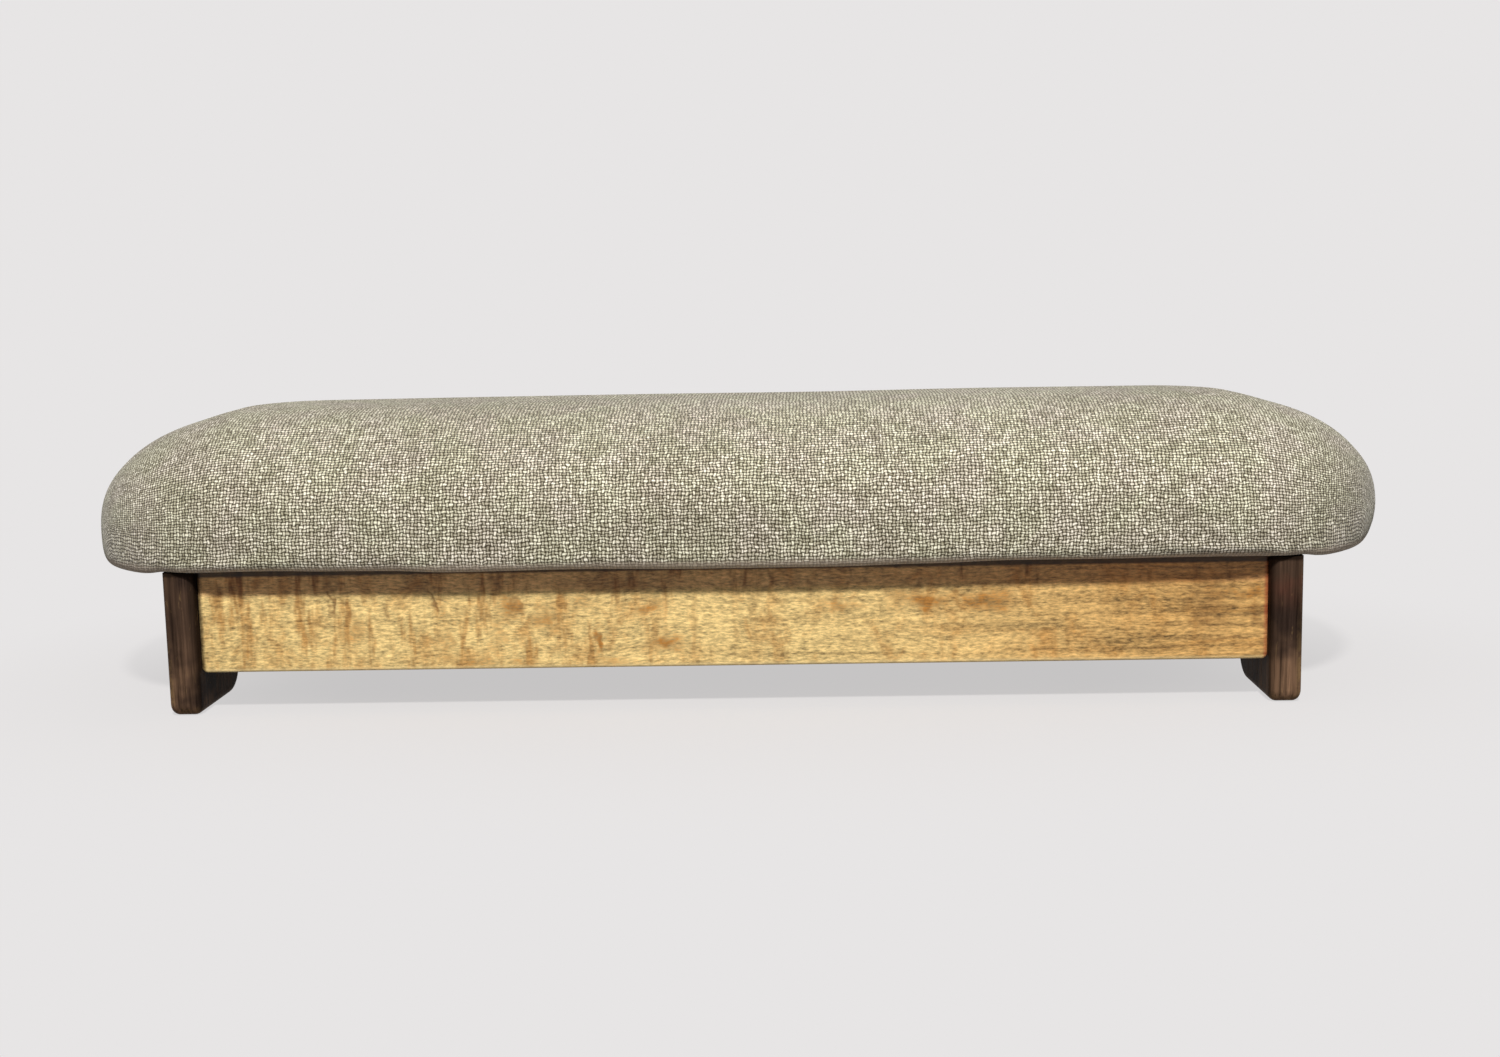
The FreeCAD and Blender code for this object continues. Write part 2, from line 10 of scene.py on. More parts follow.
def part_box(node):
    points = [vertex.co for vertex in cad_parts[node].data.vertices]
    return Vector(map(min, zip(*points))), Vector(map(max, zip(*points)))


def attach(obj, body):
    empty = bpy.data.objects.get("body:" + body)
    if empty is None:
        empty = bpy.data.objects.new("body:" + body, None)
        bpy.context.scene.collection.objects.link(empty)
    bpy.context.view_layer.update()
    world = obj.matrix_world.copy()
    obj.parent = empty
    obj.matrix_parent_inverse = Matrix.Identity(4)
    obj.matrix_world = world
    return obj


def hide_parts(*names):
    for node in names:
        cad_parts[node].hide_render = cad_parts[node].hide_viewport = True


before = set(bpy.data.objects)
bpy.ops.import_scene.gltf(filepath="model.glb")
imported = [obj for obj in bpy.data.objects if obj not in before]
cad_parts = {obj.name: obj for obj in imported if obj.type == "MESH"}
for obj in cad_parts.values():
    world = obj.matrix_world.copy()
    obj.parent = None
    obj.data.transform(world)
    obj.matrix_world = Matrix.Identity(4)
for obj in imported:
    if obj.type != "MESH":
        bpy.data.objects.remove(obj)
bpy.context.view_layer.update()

bl_info = {
    "name": "Padded footstool",
    "version": (1, 0, 0),
    "blender": (4, 5, 0),
    "location": "View3D > Sidebar > Footstool",
    "description": "Dresses the footstool's frame with a woven cushion, wood grain and fasteners",
    "category": "Object",
}

COVER_LOW, COVER_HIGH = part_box("seat_cover")
BOARD_LOW, BOARD_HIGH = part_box("seat_board")
_, DUST_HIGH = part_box("dust_cover")
PANEL_LOW, PANEL_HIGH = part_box("end_panel_right")
RAIL_LOW, RAIL_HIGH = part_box("front_rail")

PANELS = ("end_panel_left", "end_panel_right")
RAILS = ("front_rail", "back_rail")
BLOCKS = (
    "corner_block_front_left",
    "corner_block_front_right",
    "corner_block_back_left",
    "corner_block_back_right",
)

# Segments round the cushion's outline: each long side, each rounded corner and each end.
SIDE_SEGMENTS = 132
CORNER_SEGMENTS = 20
END_SEGMENTS = 8
# Rows from the crown to the widest line, in under it, and along the turned margin, where they crowd near
# the fold.
DOME_ROWS = 32
TUCK_ROWS = 8
MARGIN_ROWS = 5
MARGIN_CROWDING = 1.8
# The row of the tuck from which the cloth lies on the board and is held.
HELD_ROW = 3
# How the cloth goes over the round ends: the share of the drop that its weave has, as it is drawn tight
# there, the part of each corner's turn in which it gathers, and how much cloth, in corner radii, makes it
# gather.
END_DRAW = 0.65
CORNER_GATHER = (0.60, 1.00)
GATHER_FROM = (1.0, 1.3)
# Room round the seat board in its pocket, and where the bake map's square holds the cloth and that pocket.
POCKET_GAP = 0.00015
BAKE_FILL = 0.995
BAKE_POCKET = 0.03
BAKE_POCKET_SIZE = 0.04

# Brown blotches of the rails and their darker drips: x, z, half width, half height and strength.
RAIL_BLOTCHES = (
    (-0.2120, 0.047, 0.0080, 0.0070, 0.50),
    (-0.1610, 0.058, 0.0045, 0.0080, 0.60),
    (-0.1610, 0.039, 0.0045, 0.0090, 0.45),
    (-0.1480, 0.028, 0.0180, 0.0035, 0.60),
    (-0.1320, 0.041, 0.0050, 0.0100, 0.50),
    (-0.1226, 0.060, 0.0065, 0.0070, 0.85),
    (-0.1160, 0.027, 0.0100, 0.0030, 0.60),
    (-0.1020, 0.053, 0.0080, 0.0080, 0.75),
    (-0.0830, 0.060, 0.0070, 0.0050, 0.55),
    (-0.0734, 0.039, 0.0038, 0.0085, 0.95),
    (-0.0660, 0.027, 0.0140, 0.0028, 0.60),
    (-0.0430, 0.058, 0.0065, 0.0065, 0.65),
    (-0.0360, 0.037, 0.0105, 0.0055, 0.85),
    (0.0620, 0.058, 0.0105, 0.0045, 0.70),
    (0.1080, 0.060, 0.0150, 0.0055, 0.90),
    (0.1460, 0.058, 0.0140, 0.0070, 0.80),
    (0.2850, 0.063, 0.0170, 0.0035, 0.80),
)
RAIL_DRIPS = (
    (-0.2255, 0.074, 0.0055, 0.0060, 0.55),
    (-0.2248, 0.064, 0.0018, 0.0095, 0.75),
    (-0.2140, 0.057, 0.0035, 0.0030, 0.45),
    (-0.1960, 0.057, 0.0020, 0.0035, 0.45),
    (-0.1720, 0.075, 0.0110, 0.0055, 0.45),
    (-0.1668, 0.064, 0.0018, 0.0090, 0.75),
    (-0.1300, 0.074, 0.0042, 0.0070, 0.60),
    (-0.1190, 0.064, 0.0022, 0.0050, 0.45),
    (-0.0630, 0.072, 0.0320, 0.0050, 0.45),
    (0.0230, 0.074, 0.0018, 0.0080, 0.50),
    (0.2680, 0.055, 0.0110, 0.0130, 0.60),
    (0.2780, 0.0355, 0.0180, 0.0014, 0.55),
    (0.2925, 0.049, 0.0055, 0.0050, 0.70),
)

# How far the cushion's front lower edge is lifted, along the stool.
HEM_LIFT = (
    (-0.381, 0.0),
    (-0.300, 0.0002),
    (-0.265, 0.0014),
    (-0.225, 0.0003),
    (-0.190, 0.0),
    (-0.155, -0.0013),
    (-0.080, -0.0006),
    (-0.020, -0.0014),
    (0.060, -0.0013),
    (0.110, -0.0004),
    (0.160, 0.0008),
    (0.220, 0.0008),
    (0.260, 0.0019),
    (0.290, 0.0021),
    (0.315, 0.0),
    (0.381, 0.0),
)

# Unevenness of the cover. The lower edge moves within a height and a width, and the dents are full from
# another height on. They push out less along the stool than across it.
HEM_HEIGHT = 0.035
HEM_WIDTH = 0.010
FULL_HEIGHT = 0.03
RIPPLE = 0.0008
RIPPLE_WAVES = 17
DENT_OUT = 0.0010
DENT_UP = 0.0007
DENT_WAVES = (7, 9, 14)
END_PUSH = 0.35
# How far past the panels' front edges and outer faces the cloth starts to hang, and hangs freely.
PAST_FRONT = (0.0015, 0.0040)
PAST_END = (0.0015, 0.0060)
# The fold over each leg, from the leg's middle, and the slack cloth from there to the end.
FOLD_DROP = 0.0014
FOLD_PLACE = 0.003
FOLD_WIDTH = 0.009
SLACK_DROP = 0.0022
SLACK_SPAN = (-0.006, 0.025)
# The lower edge of the right end is drawn in, more and more along this span.
DRAWN_IN = 0.0045
DRAWN_HEIGHT = 0.020
DRAWN_SPAN = (0.335, 0.372)

# The dust cloth: its rings, and its sag inside the line of its staples.
DUST_INSETS = (0.0, 0.004, 0.010, 0.018, 0.028, 0.040)
DUST_LEAST_CORNER = 0.006
DUST_THICKNESS = 0.0002
DUST_SAG = 0.0016
DUST_SAG_HALF = (0.285, 0.060)
DUST_SAG_SLOPE = 0.05

# A screw: the depth and reach of its recess, how much of the reach is left beside and between the recess's
# four arms, and its thread, as shares of the screw's length and of the shank.
SCREW_SIDES = 24
RECESS = ((0.0014, 0.0005), (0.0012, 0.0009), (0.0001, 0.0023))
RECESS_BESIDE = 0.42
RECESS_BETWEEN = 0.34
THREAD_START = 0.30
THREAD_END = 0.92
THREAD_TURN = 0.0016
THREAD_ROOT = 0.74
# Points that count as one, and points that count as a screw's end.
SAME_POINT = 1e-6
SCREW_END = 0.0006

# The floor: its brightness for light and for the eye, the share of plain backdrop in it at the stool, and
# the distances over which that grows to all of it, stretched along the stool.
FLOOR_REACH = 30.0
FLOOR_BOUNCE = 0.30
FLOOR_LEVEL = 0.84
FLOOR_PLAIN = 0.70
FLOOR_FADE = (0.14, 0.40)
FLOOR_STRETCH = 1.5
# The light from all round, the lamp and the camera's film and range.
AMBIENT_TINT = (1.06, 0.97, 0.93)
BRIGHT_TINT = (0.99, 0.99, 1.0)
BESIDE_SHARE = 0.5
KEY_TINT = (1.0, 0.975, 0.94)
KEY_SIZE = 0.26
KEY_DISTANCE = 2.6
KEY_AIM = (0.0, 0.0, 0.1)
SENSOR_WIDTH = 36.0
CLIP_START = 0.01
CLIP_END = 100.0

# A mark on the rails fades from full to none between these shares of its half width.
MARK_FULL = 0.1
MARK_NONE = 1.7
# Distance of the weave's rows, as a share of that of its columns.
ROW_PITCH = 0.94
# Layers of the seat board, and distance of the dust cloth's dimples.
PLY_LAYERS = 9
DIMPLE_PITCH = 0.0016

# The cloth's flat map in metres, the map that baking fills, and the points that the staples hold.
SHEET_MAP = "Sheet"
BAKE_MAP = "OFBake"
PIN_GROUP = "stapled"
# The filling of the cushion.
SIMULATION_FRAMES = 20
CLOTH_PRESSURE = 4.0


def linear(red, green, blue):
    """A colour written as 0 to 255 screen values, as a linear colour."""
    def one(value):
        share = value / 255
        return share / 12.92 if share <= 0.04045 else ((share + 0.055) / 1.055) ** 2.4
    return (one(red), one(green), one(blue))


def opaque(colour):
    """A colour with its alpha, as node sockets take it."""
    return (*tuple(colour)[:3], 1.0)


def dimmed(colour, share):
    """A colour with all its parts multiplied by one share."""
    return tuple(value * share for value in colour)


def tinted(colour, shares):
    """A colour with each part multiplied by its own share."""
    return tuple(value * share for value, share in zip(colour, shares))


def ease(value, low, high):
    """0 at low, 1 at high and straight between; low may be the larger one."""
    return min(1.0, max(0.0, (value - low) / (high - low)))


def smooth(value, low, high):
    """0 at low, 1 at high and gentle at both."""
    share = ease(value, low, high)
    return share * share * (3 - 2 * share)


class Field:
    """One value in a node tree. Arithmetic on it adds Math nodes."""

    def __init__(self, tree, socket):
        self.tree = tree
        self.socket = socket

    def math(self, operation, *terms):
        """A Math node on this value or on the terms given."""
        keys = ("Value", "Value_001", "Value_002")
        return self.tree.node("ShaderNodeMath", {"operation": operation}, dict(zip(keys, terms or (self,))))

    def __add__(self, other):
        return self.math("ADD", self, other)

    def __sub__(self, other):
        return self.math("SUBTRACT", self, other)

    def __rsub__(self, other):
        return self.math("SUBTRACT", other, self)

    def __mul__(self, other):
        return self.math("MULTIPLY", self, other)

    def __truediv__(self, other):
        return self.math("DIVIDE", self, other)

    def __pow__(self, other):
        return self.math("POWER", self, other)

    def __mod__(self, other):
        return self.math("FLOORED_MODULO", self, other)

    def __abs__(self):
        return self.math("ABSOLUTE")

    __radd__ = __add__
    __rmul__ = __mul__

    def floor(self):
        """The whole number below."""
        return self.math("FLOOR")

    def most(self, other):
        """The larger of two values."""
        return self.math("MAXIMUM", self, other)

    def rise(self, low, high):
        """0 below low, 1 above high and smooth between; low may be the larger one."""
        return self.tree.node(
            "ShaderNodeMapRange",
            {"interpolation_type": "SMOOTHSTEP", "clamp": True},
            {"Value": self, "From Min": low, "From Max": high},
        )

    def near(self, limit, start, full):
        """0 from start before a limit, 1 from full before it; negative distances lie past the limit."""
        return self.rise(limit - start, limit - full)

    def output(self, key):
        """Another output of the same node."""
        return Field(self.tree, self.socket.node.outputs[key])


class NodeTree:
    """A node tree, and the methods that add nodes to it."""

    def __init__(self, tree):
        self.tree = tree
        self.tree.nodes.clear()

    def node(self, kind, settings=None, values=None, output=0):
        """Adds a node, sets its settings, then its sockets by identifier, and gives one output."""
        node = self.tree.nodes.new(kind)
        for key, setting in (settings or {}).items():
            if key == "stops":
                self.set_stops(node.color_ramp, setting)
            else:
                setattr(node, key, setting)
        for key, value in (values or {}).items():
            socket = next(item for item in node.inputs if item.identifier == key)
            if isinstance(value, Field):
                self.tree.links.new(value.socket, socket)
            else:
                socket.default_value = value
        return Field(self, node.outputs[output]) if node.outputs else node

    @staticmethod
    def set_stops(ramp, stops):
        """Fills a colour ramp with (place, colour) stops."""
        while len(ramp.elements) < len(stops):
            ramp.elements.new(1.0)
        for element, (place, colour) in zip(ramp.elements, stops):
            element.position = place
            element.color = opaque(colour)

    def split(self, vector):
        """The three parts of a vector."""
        first = self.node("ShaderNodeSeparateXYZ", values={"Vector": vector})
        return first, first.output("Y"), first.output("Z")

    def blend(self, factor, first, second, mode="MIX"):
        """A mix of two colours."""
        values = {"Factor_Float": factor}
        for key, colour in (("A_Color", first), ("B_Color", second)):
            values[key] = colour if isinstance(colour, Field) else opaque(colour)
        return self.node("ShaderNodeMix", {"data_type": "RGBA", "blend_type": mode}, values, 2)


class Finish(NodeTree):
    """A procedural material."""

    def __init__(self, name):
        self.material = bpy.data.materials.new(name)
        self.material.use_nodes = True
        super().__init__(self.material.node_tree)

    def place(self):
        """The point on the piece, in metres."""
        return self.node("ShaderNodeTexCoord", output="Object")

    def flat_place(self):
        """The point on the cloth before it was pulled over the pad, in metres."""
        return self.node("ShaderNodeUVMap", {"uv_map": SHEET_MAP})

    def join(self, x, y, z):
        """A vector from three values."""
        return self.node("ShaderNodeCombineXYZ", values={"X": x, "Y": y, "Z": z})

    def vector(self, operation, first, second):
        """A Vector Math node."""
        return self.node(
            "ShaderNodeVectorMath", {"operation": operation}, {"Vector": first, "Vector_001": second}
        )

    def noise(self, vector, scale, detail=2.0, roughness=0.5, distortion=0.0, output=0):
        """Soft noise, 0 to 1 and mostly near the middle."""
        return self.node(
            "ShaderNodeTexNoise",
            {"noise_dimensions": "3D"},
            {
                "Vector": vector,
                "Scale": scale,
                "Detail": detail,
                "Roughness": roughness,
                "Distortion": distortion,
            },
            output,
        )

    def stir(self, place, source, scale, detail, reach):
        """A place moved about by noise that is taken at the source, by up to half the reach on each axis."""
        shift = self.vector("SUBTRACT", self.noise(source, scale, detail, output="Color"), (0.5, 0.5, 0.5))
        return self.vector("ADD", place, self.vector("MULTIPLY", shift, reach))

    def streaks(self, vector, per_metre, detail=2.0, roughness=0.5, distortion=0.0):
        """Noise drawn out along an axis, with its own count of waves per metre on each."""
        stretched = self.vector("MULTIPLY", vector, per_metre)
        return self.noise(stretched, 1.0, detail, roughness, distortion)

    def chance(self, x, y, z):
        """A random value, 0 to 1, for each cell."""
        cell = self.join(x, y, z)
        return self.node("ShaderNodeTexWhiteNoise", {"noise_dimensions": "3D"}, {"Vector": cell})

    def ramp(self, value, *stops):
        """A colour ramp through (place, colour) stops."""
        return self.node("ShaderNodeValToRGB", {"stops": stops}, {"Fac": value})

    def marks(self, place, spots):
        """Soft oval marks, each given as its x, z, half width, half height and strength."""
        found = 0.0
        for x, z, wide, high, strength in spots:
            scale, shift = (1 / wide, 0.0, 1 / high), (-x / wide, 0.0, -z / high)
            from_middle = self.node(
                "ShaderNodeVectorMath",
                {"operation": "MULTIPLY_ADD"},
                {"Vector": place, "Vector_001": scale, "Vector_002": shift},
            )
            reach = self.node(
                "ShaderNodeVectorMath", {"operation": "LENGTH"}, {"Vector": from_middle}, "Value"
            )
            found = (reach.rise(MARK_NONE, MARK_FULL) * strength).most(found)
        return found

    def shade(self, colour, amount):
        """A colour made darker or lighter by an amount that varies."""
        grey = self.node("ShaderNodeCombineColor", values={"Red": amount, "Green": amount, "Blue": amount})
        return self.blend(1.0, colour, grey, "MULTIPLY")

    def tint(self, colour, by):
        """A colour multiplied by another one."""
        return self.blend(1.0, colour, by, "MULTIPLY")

    def surface(self, colour, roughness, height, depth, **fixed):
        """The shader with its bumps, and the material output."""
        values = {"Base Color": colour, "Roughness": roughness}
        values.update({key.replace("_", " "): value for key, value in fixed.items()})
        bump = {"Strength": 1.0, "Distance": depth, "Height": height}
        values["Normal"] = self.node("ShaderNodeBump", values=bump)
        shader = self.node("ShaderNodeBsdfPrincipled", values=values)
        self.node("ShaderNodeOutputMaterial", values={"Surface": shader})
        return self.material


def add_object(name, data):
    """A new object in the scene."""
    made = bpy.data.objects.new(name, data)
    bpy.context.scene.collection.objects.link(made)
    return made


def length_value(name, description, default):
    """A length that the user may change."""
    return FloatProperty(name=name, description=description, default=default, unit="LENGTH")


def angle_value(name, description, degrees):
    """An angle that the user may change."""
    return FloatProperty(name=name, description=description, default=math.radians(degrees), subtype="ANGLE")


def colour_value(name, description, default):
    """A colour or a tint that the user may change."""
    return FloatVectorProperty(name=name, description=description, subtype="COLOR", size=3, default=default)


class FootstoolCushion(bpy.types.PropertyGroup):
    """Shape and cloth of the cushion."""

    corner: length_value("Corner", "Corner radius of the cushion in plan", 0.106)
    bulge: length_value("Bulge height", "Height of the widest line over the underside", 0.0155)
    tuck: length_value("Tuck", "How far the cloth is drawn in under the widest line", 0.0068)
    shoulder: length_value("End shoulder", "Length of the slope from crown to end", 0.119)
    crown_half: length_value("Half crown", "Half of the crown's width", 0.015)
    crown_corner: length_value("Crown corner", "Corner radius of the crown in plan", 0.014)
    fullness: FloatProperty(
        name="Fullness", description="Power of the shoulder's curve; 2 is a plain ellipse", default=2.38
    )
    squareness: FloatProperty(
        name="Squareness",
        description="Power of the curve in under the widest line; 2 is a plain ellipse",
        default=2.9,
    )
    margin: length_value("Turned margin", "Cloth turned under the board", 0.040)
    slack: length_value("Slack", "How much flatter and wider the cover starts", 0.0012)
    swell: length_value("Most swell", "The most that filling may move the cloth", 0.0016)
    pitch: length_value("Thread pitch", "Distance from thread to thread", 0.0020)
    # The weave's ramp, from cream down to the gap: by thread height it paints light on the crowns and shade
    # on the sides and in the gaps, mixed with the yarn's own tones.
    cream: colour_value("Cream", "Lightest flecks", linear(252, 248, 232))
    oat: colour_value("Oat", "Tops of most threads", linear(204, 198, 179))
    greige: colour_value("Greige", "Main colour of the threads", linear(160, 154, 134))
    taupe: colour_value("Taupe", "Sides of the threads", linear(118, 111, 92))
    gap: colour_value("Gap", "Dark gaps between threads", linear(62, 55, 42))
    # Painted light: a paler colour along the cushion's lower edge, lifting the shade where the cloth turns
    # under, with a pale hem line.
    painted_lower_light: colour_value("Hem", "Plainer cloth along the lower edge", linear(190, 174, 156))
    moss: colour_value("Moss", "Tint of the greenish heather", (0.94, 1.0, 0.90))
    lilac: colour_value("Lilac", "Tint of the greyer heather", (1.0, 0.96, 1.04))


class FootstoolWood(bpy.types.PropertyGroup):
    """Colours of the wood."""

    maple: colour_value("Maple", "Golden ground of the rails", linear(224, 196, 133))
    figure: colour_value("Figure", "Brown blotches of the rails", linear(166, 116, 56))
    drip: colour_value("Drip", "Dark upright marks of the rails", linear(110, 74, 38))
    # Partly a painted highlight along the rails' eased lower edge, partly the finish worn there.
    edge: colour_value("Pale edge", "Lower edge of the rails", linear(242, 220, 165))
    glue_line: colour_value("Glue line", "Where rails meet panels", linear(158, 66, 44))
    amber: colour_value("Amber", "Browner end of the rails", linear(196, 156, 96))
    stain: colour_value("Stain", "Dark stain of the end panels", linear(52, 40, 34))
    worn: colour_value("Worn stain", "Stain rubbed thin", linear(116, 90, 70))
    russet: colour_value("Russet", "Reddish patch of the stain", linear(112, 70, 55))
    # Painted shade: the dark line where the cushion's overhang shades the tops of the rails and panels. It
    # also darkens the panels' inner front edges and the rails' left joint line.
    seam: colour_value("Seam", "Dark line under the cushion", linear(26, 19, 14))
    # Painted shade: the tint that makes the rails darker and redder where the cushion's shadow falls.
    under_cushion_shade: colour_value("Pooled", "Tint of the rails under the cushion", (0.90, 0.76, 0.80))
    rubbed: colour_value("Rubbed edge", "Edges rubbed pale", linear(168, 138, 92))
    bare: colour_value("Bare wood", "Unfinished inner wood", linear(205, 180, 138))


class FootstoolMetal(bpy.types.PropertyGroup):
    """Sizes and colours of the fasteners and the dust cloth."""

    staple_wire: length_value("Staple wire", "Width of the staple's wire", 0.0012)
    staple_gauge: length_value("Staple gauge", "Thickness of the staple's wire", 0.0006)
    screw_head: length_value("Screw head", "Width of a screw's head", 0.008)
    screw_shank: length_value("Screw shank", "Width of a screw's shank", 0.004)
    steel: colour_value("Steel", "Colour of the staples", linear(196, 196, 192))
    zinc: colour_value("Zinc", "Colour of the screws", linear(206, 196, 164))
    dust_cloth: colour_value("Dust cloth", "Black cloth underneath", linear(38, 38, 40))


class FootstoolStage(bpy.types.PropertyGroup):
    """Floor, light and camera."""

    backdrop: colour_value("Backdrop", "Pale floor and background", linear(231, 229, 229))
    key: FloatProperty(name="Key light", description="Power of the main lamp in watts", default=74.0)
    key_elevation: angle_value("Key elevation", "Height of the main lamp", 46)
    key_azimuth: angle_value("Key azimuth", "Turn of the main lamp from the front", 4)
    ambient: FloatProperty(name="Ambient", description="Level of the light from all round", default=0.17)
    behind: FloatProperty(name="Behind", description="How much stronger it is from behind", default=4.0)
    camera_place: FloatVectorProperty(
        name="Camera", description="Where the camera stands", subtype="TRANSLATION", size=3,
        default=(0.0471, -1.0920, 0.2409),
    )
    camera_pitch: angle_value("Camera pitch", "How far the camera looks down", 7.94)
    camera_roll: angle_value("Camera roll", "How far the camera leans", 1.19)
    camera_yaw: angle_value("Camera yaw", "How far the camera is turned to the right", -1.95)
    lens: FloatProperty(name="Lens", description="Focal length in millimetres", default=43.2)


class Ring:
    """One level line of a rounded slab: a rounded rectangle at a height, with its place on the flat cloth."""

    def __init__(self, half_length, half_depth, corner, height):
        self.half_length = half_length
        self.half_depth = half_depth
        self.corner = corner
        self.height = height
        self.flat_end = half_length
        self.flat_side = half_depth

    def wrap(self, reach, turn, start, end):
        """Cloth from the start of a corner to a turn round it: level threads that gather in one part."""
        share = turn / (math.pi / 2)
        quarter, middle = self.corner * math.pi / 2, (start + end) / 2
        gathered = quarter * min(share, middle) + (reach - quarter * middle) * smooth(share, start, end)
        over = ease(reach / self.corner, *GATHER_FROM)
        return reach * math.sin(turn) * (1 - over) + gathered * over

    def points(self):
        """Pairs of a point and its place on the flat cloth, round from the front left and back to it."""
        straight = self.half_length - self.corner
        short = self.half_depth - self.corner
        start, end = CORNER_GATHER
        found = []

        def add(along, across, turn, flip):
            x = along + self.corner * math.sin(turn)
            y = across + self.corner * math.cos(turn)
            u = along + self.wrap(self.flat_end - straight, math.pi / 2 - abs(math.pi / 2 - turn), start, end)
            back = -1 if turn > math.pi / 2 else 1
            v = across + back * self.wrap(self.flat_side - short, abs(math.pi / 2 - turn), 1 - end, 1 - start)
            found.append((Vector((flip * x, -flip * y, self.height)), (flip * u, -flip * v)))

        for flip in (1, -1):
            for step in range(SIDE_SEGMENTS):
                add(straight * (2 * step / SIDE_SEGMENTS - 1), short, 0.0, flip)
            for step in range(CORNER_SEGMENTS):
                add(straight, short, math.pi / 2 * step / CORNER_SEGMENTS, flip)
            for step in range(END_SEGMENTS):
                add(straight, short * (1 - 2 * step / END_SEGMENTS), math.pi / 2, flip)
            for step in range(CORNER_SEGMENTS):
                add(straight, -short, math.pi / 2 * (1 + step / CORNER_SEGMENTS), flip)
        return found


def loop_size():
    """Points round one ring."""
    return 2 * (SIDE_SEGMENTS + END_SEGMENTS + 2 * CORNER_SEGMENTS)


def crossing_pairs():
    """Index pairs of a ring's points that face each other across it, from the left end to the right."""
    total = loop_size()
    right_end = SIDE_SEGMENTS + CORNER_SEGMENTS
    columns = SIDE_SEGMENTS + 2 * CORNER_SEGMENTS
    front = [(right_end - columns + step) % total for step in range(columns + 1)]
    back = [(right_end + END_SEGMENTS + columns - step) % total for step in range(columns + 1)]
    return list(zip(front, back))


class Shell:
    """A mesh made of rings, whose first or last ring may be closed by a flat grid."""

    def __init__(self, name):
        self.name = name
        self.points = []
        self.flat = []
        self.faces = []

    def add(self, point, flat):
        """Adds a point and gives its number."""
        self.points.append(Vector(point))
        self.flat.append(flat)
        return len(self.points) - 1

    def ring(self, ring):
        """Adds a ring of points."""
        return [self.add(point, flat) for point, flat in ring.points()]

    def bridge(self, upper, lower):
        """Joins two rings by a band of faces that points outwards when upper is the inner or higher one."""
        total = len(upper)
        for here in range(total):
            after = (here + 1) % total
            self.faces.append((upper[here], lower[here], lower[after], upper[after]))

    def close(self, ring, facing_up):
        """Fills a ring with a grid whose rows run along the stool."""
        pairs = crossing_pairs()
        columns = []
        for front, back in pairs[1:-1]:
            start, end = ring[front], ring[back]
            column = [start]
            for step in range(1, END_SEGMENTS):
                share = step / END_SEGMENTS
                point = self.points[start].lerp(self.points[end], share)
                flat = tuple(a + (b - a) * share for a, b in zip(self.flat[start], self.flat[end]))
                column.append(self.add(point, flat))
            columns.append(column + [end])
        total = len(ring)
        left_back = pairs[0][1]
        right_front = pairs[-1][0]
        left = [ring[(left_back + END_SEGMENTS - step) % total] for step in range(END_SEGMENTS + 1)]
        right = [ring[(right_front + step) % total] for step in range(END_SEGMENTS + 1)]
        columns = [left] + columns + [right]
        for here, after in zip(columns, columns[1:]):
            for row in range(END_SEGMENTS):
                face = (here[row], after[row], after[row + 1], here[row + 1])
                self.faces.append(face if facing_up else face[::-1])

    def make(self):
        """The mesh object, with its flat place as a UV map in metres."""
        mesh = bpy.data.meshes.new(self.name)
        mesh.from_pydata(self.points, [], self.faces)
        layer = mesh.uv_layers.new(name=SHEET_MAP)
        for corner in mesh.loops:
            layer.data[corner.index].uv = self.flat[corner.vertex_index]
        mesh.validate()
        for face in mesh.polygons:
            face.use_smooth = True
        return add_object(self.name, mesh)


def cushion_profile(shape, slack):
    """Rings of the cushion's outside, from the crown down, round the widest line and in under the board."""
    length = COVER_HIGH.x
    depth = COVER_HIGH.y
    bottom = COVER_LOW.z
    widest = bottom + shape.bulge
    top = COVER_HIGH.z
    rings = []

    def add(half_length, half_depth, corner, height):
        ring = Ring(half_length, half_depth, corner, height)
        if rings:
            last = rings[-1]
            drop = last.height - height
            ring.flat_end = last.flat_end + math.hypot(half_length - last.half_length, drop * END_DRAW)
            ring.flat_side = last.flat_side + math.hypot(half_depth - last.half_depth, drop)
        rings.append(ring)

    power = 2 / shape.fullness
    for row in range(DOME_ROWS + 1):
        angle = math.pi / 2 * (1 - row / DOME_ROWS)
        rise = math.sin(angle) ** power
        stay = max(math.cos(angle), 0.0) ** power
        spread = slack * math.cos(angle)
        add(
            length - shape.shoulder + shape.shoulder * stay,
            shape.crown_half + (depth - shape.crown_half) * stay + spread,
            shape.crown_corner + (shape.corner - shape.crown_corner) * stay + spread,
            widest + (top - slack - widest) * rise,
        )
    for row in range(1, TUCK_ROWS + 1):
        angle = math.pi / 2 * row / TUCK_ROWS
        stay = max(math.cos(angle), 0.0) ** (2 / shape.squareness)
        fall = math.sin(angle) ** (2 / shape.squareness)
        inset = shape.tuck * (1 - stay)
        spread = slack * math.cos(angle)
        add(
            length - inset,
            depth - inset + spread,
            shape.corner - inset + spread,
            bottom + shape.bulge * (1 - fall),
        )
    last_inset = length - BOARD_HIGH.x + shape.margin
    for row in range(1, MARGIN_ROWS + 1):
        inset = shape.tuck + (last_inset - shape.tuck) * (row / MARGIN_ROWS) ** MARGIN_CROWDING
        add(length - inset, depth - inset, shape.corner - inset, bottom)
    return rings


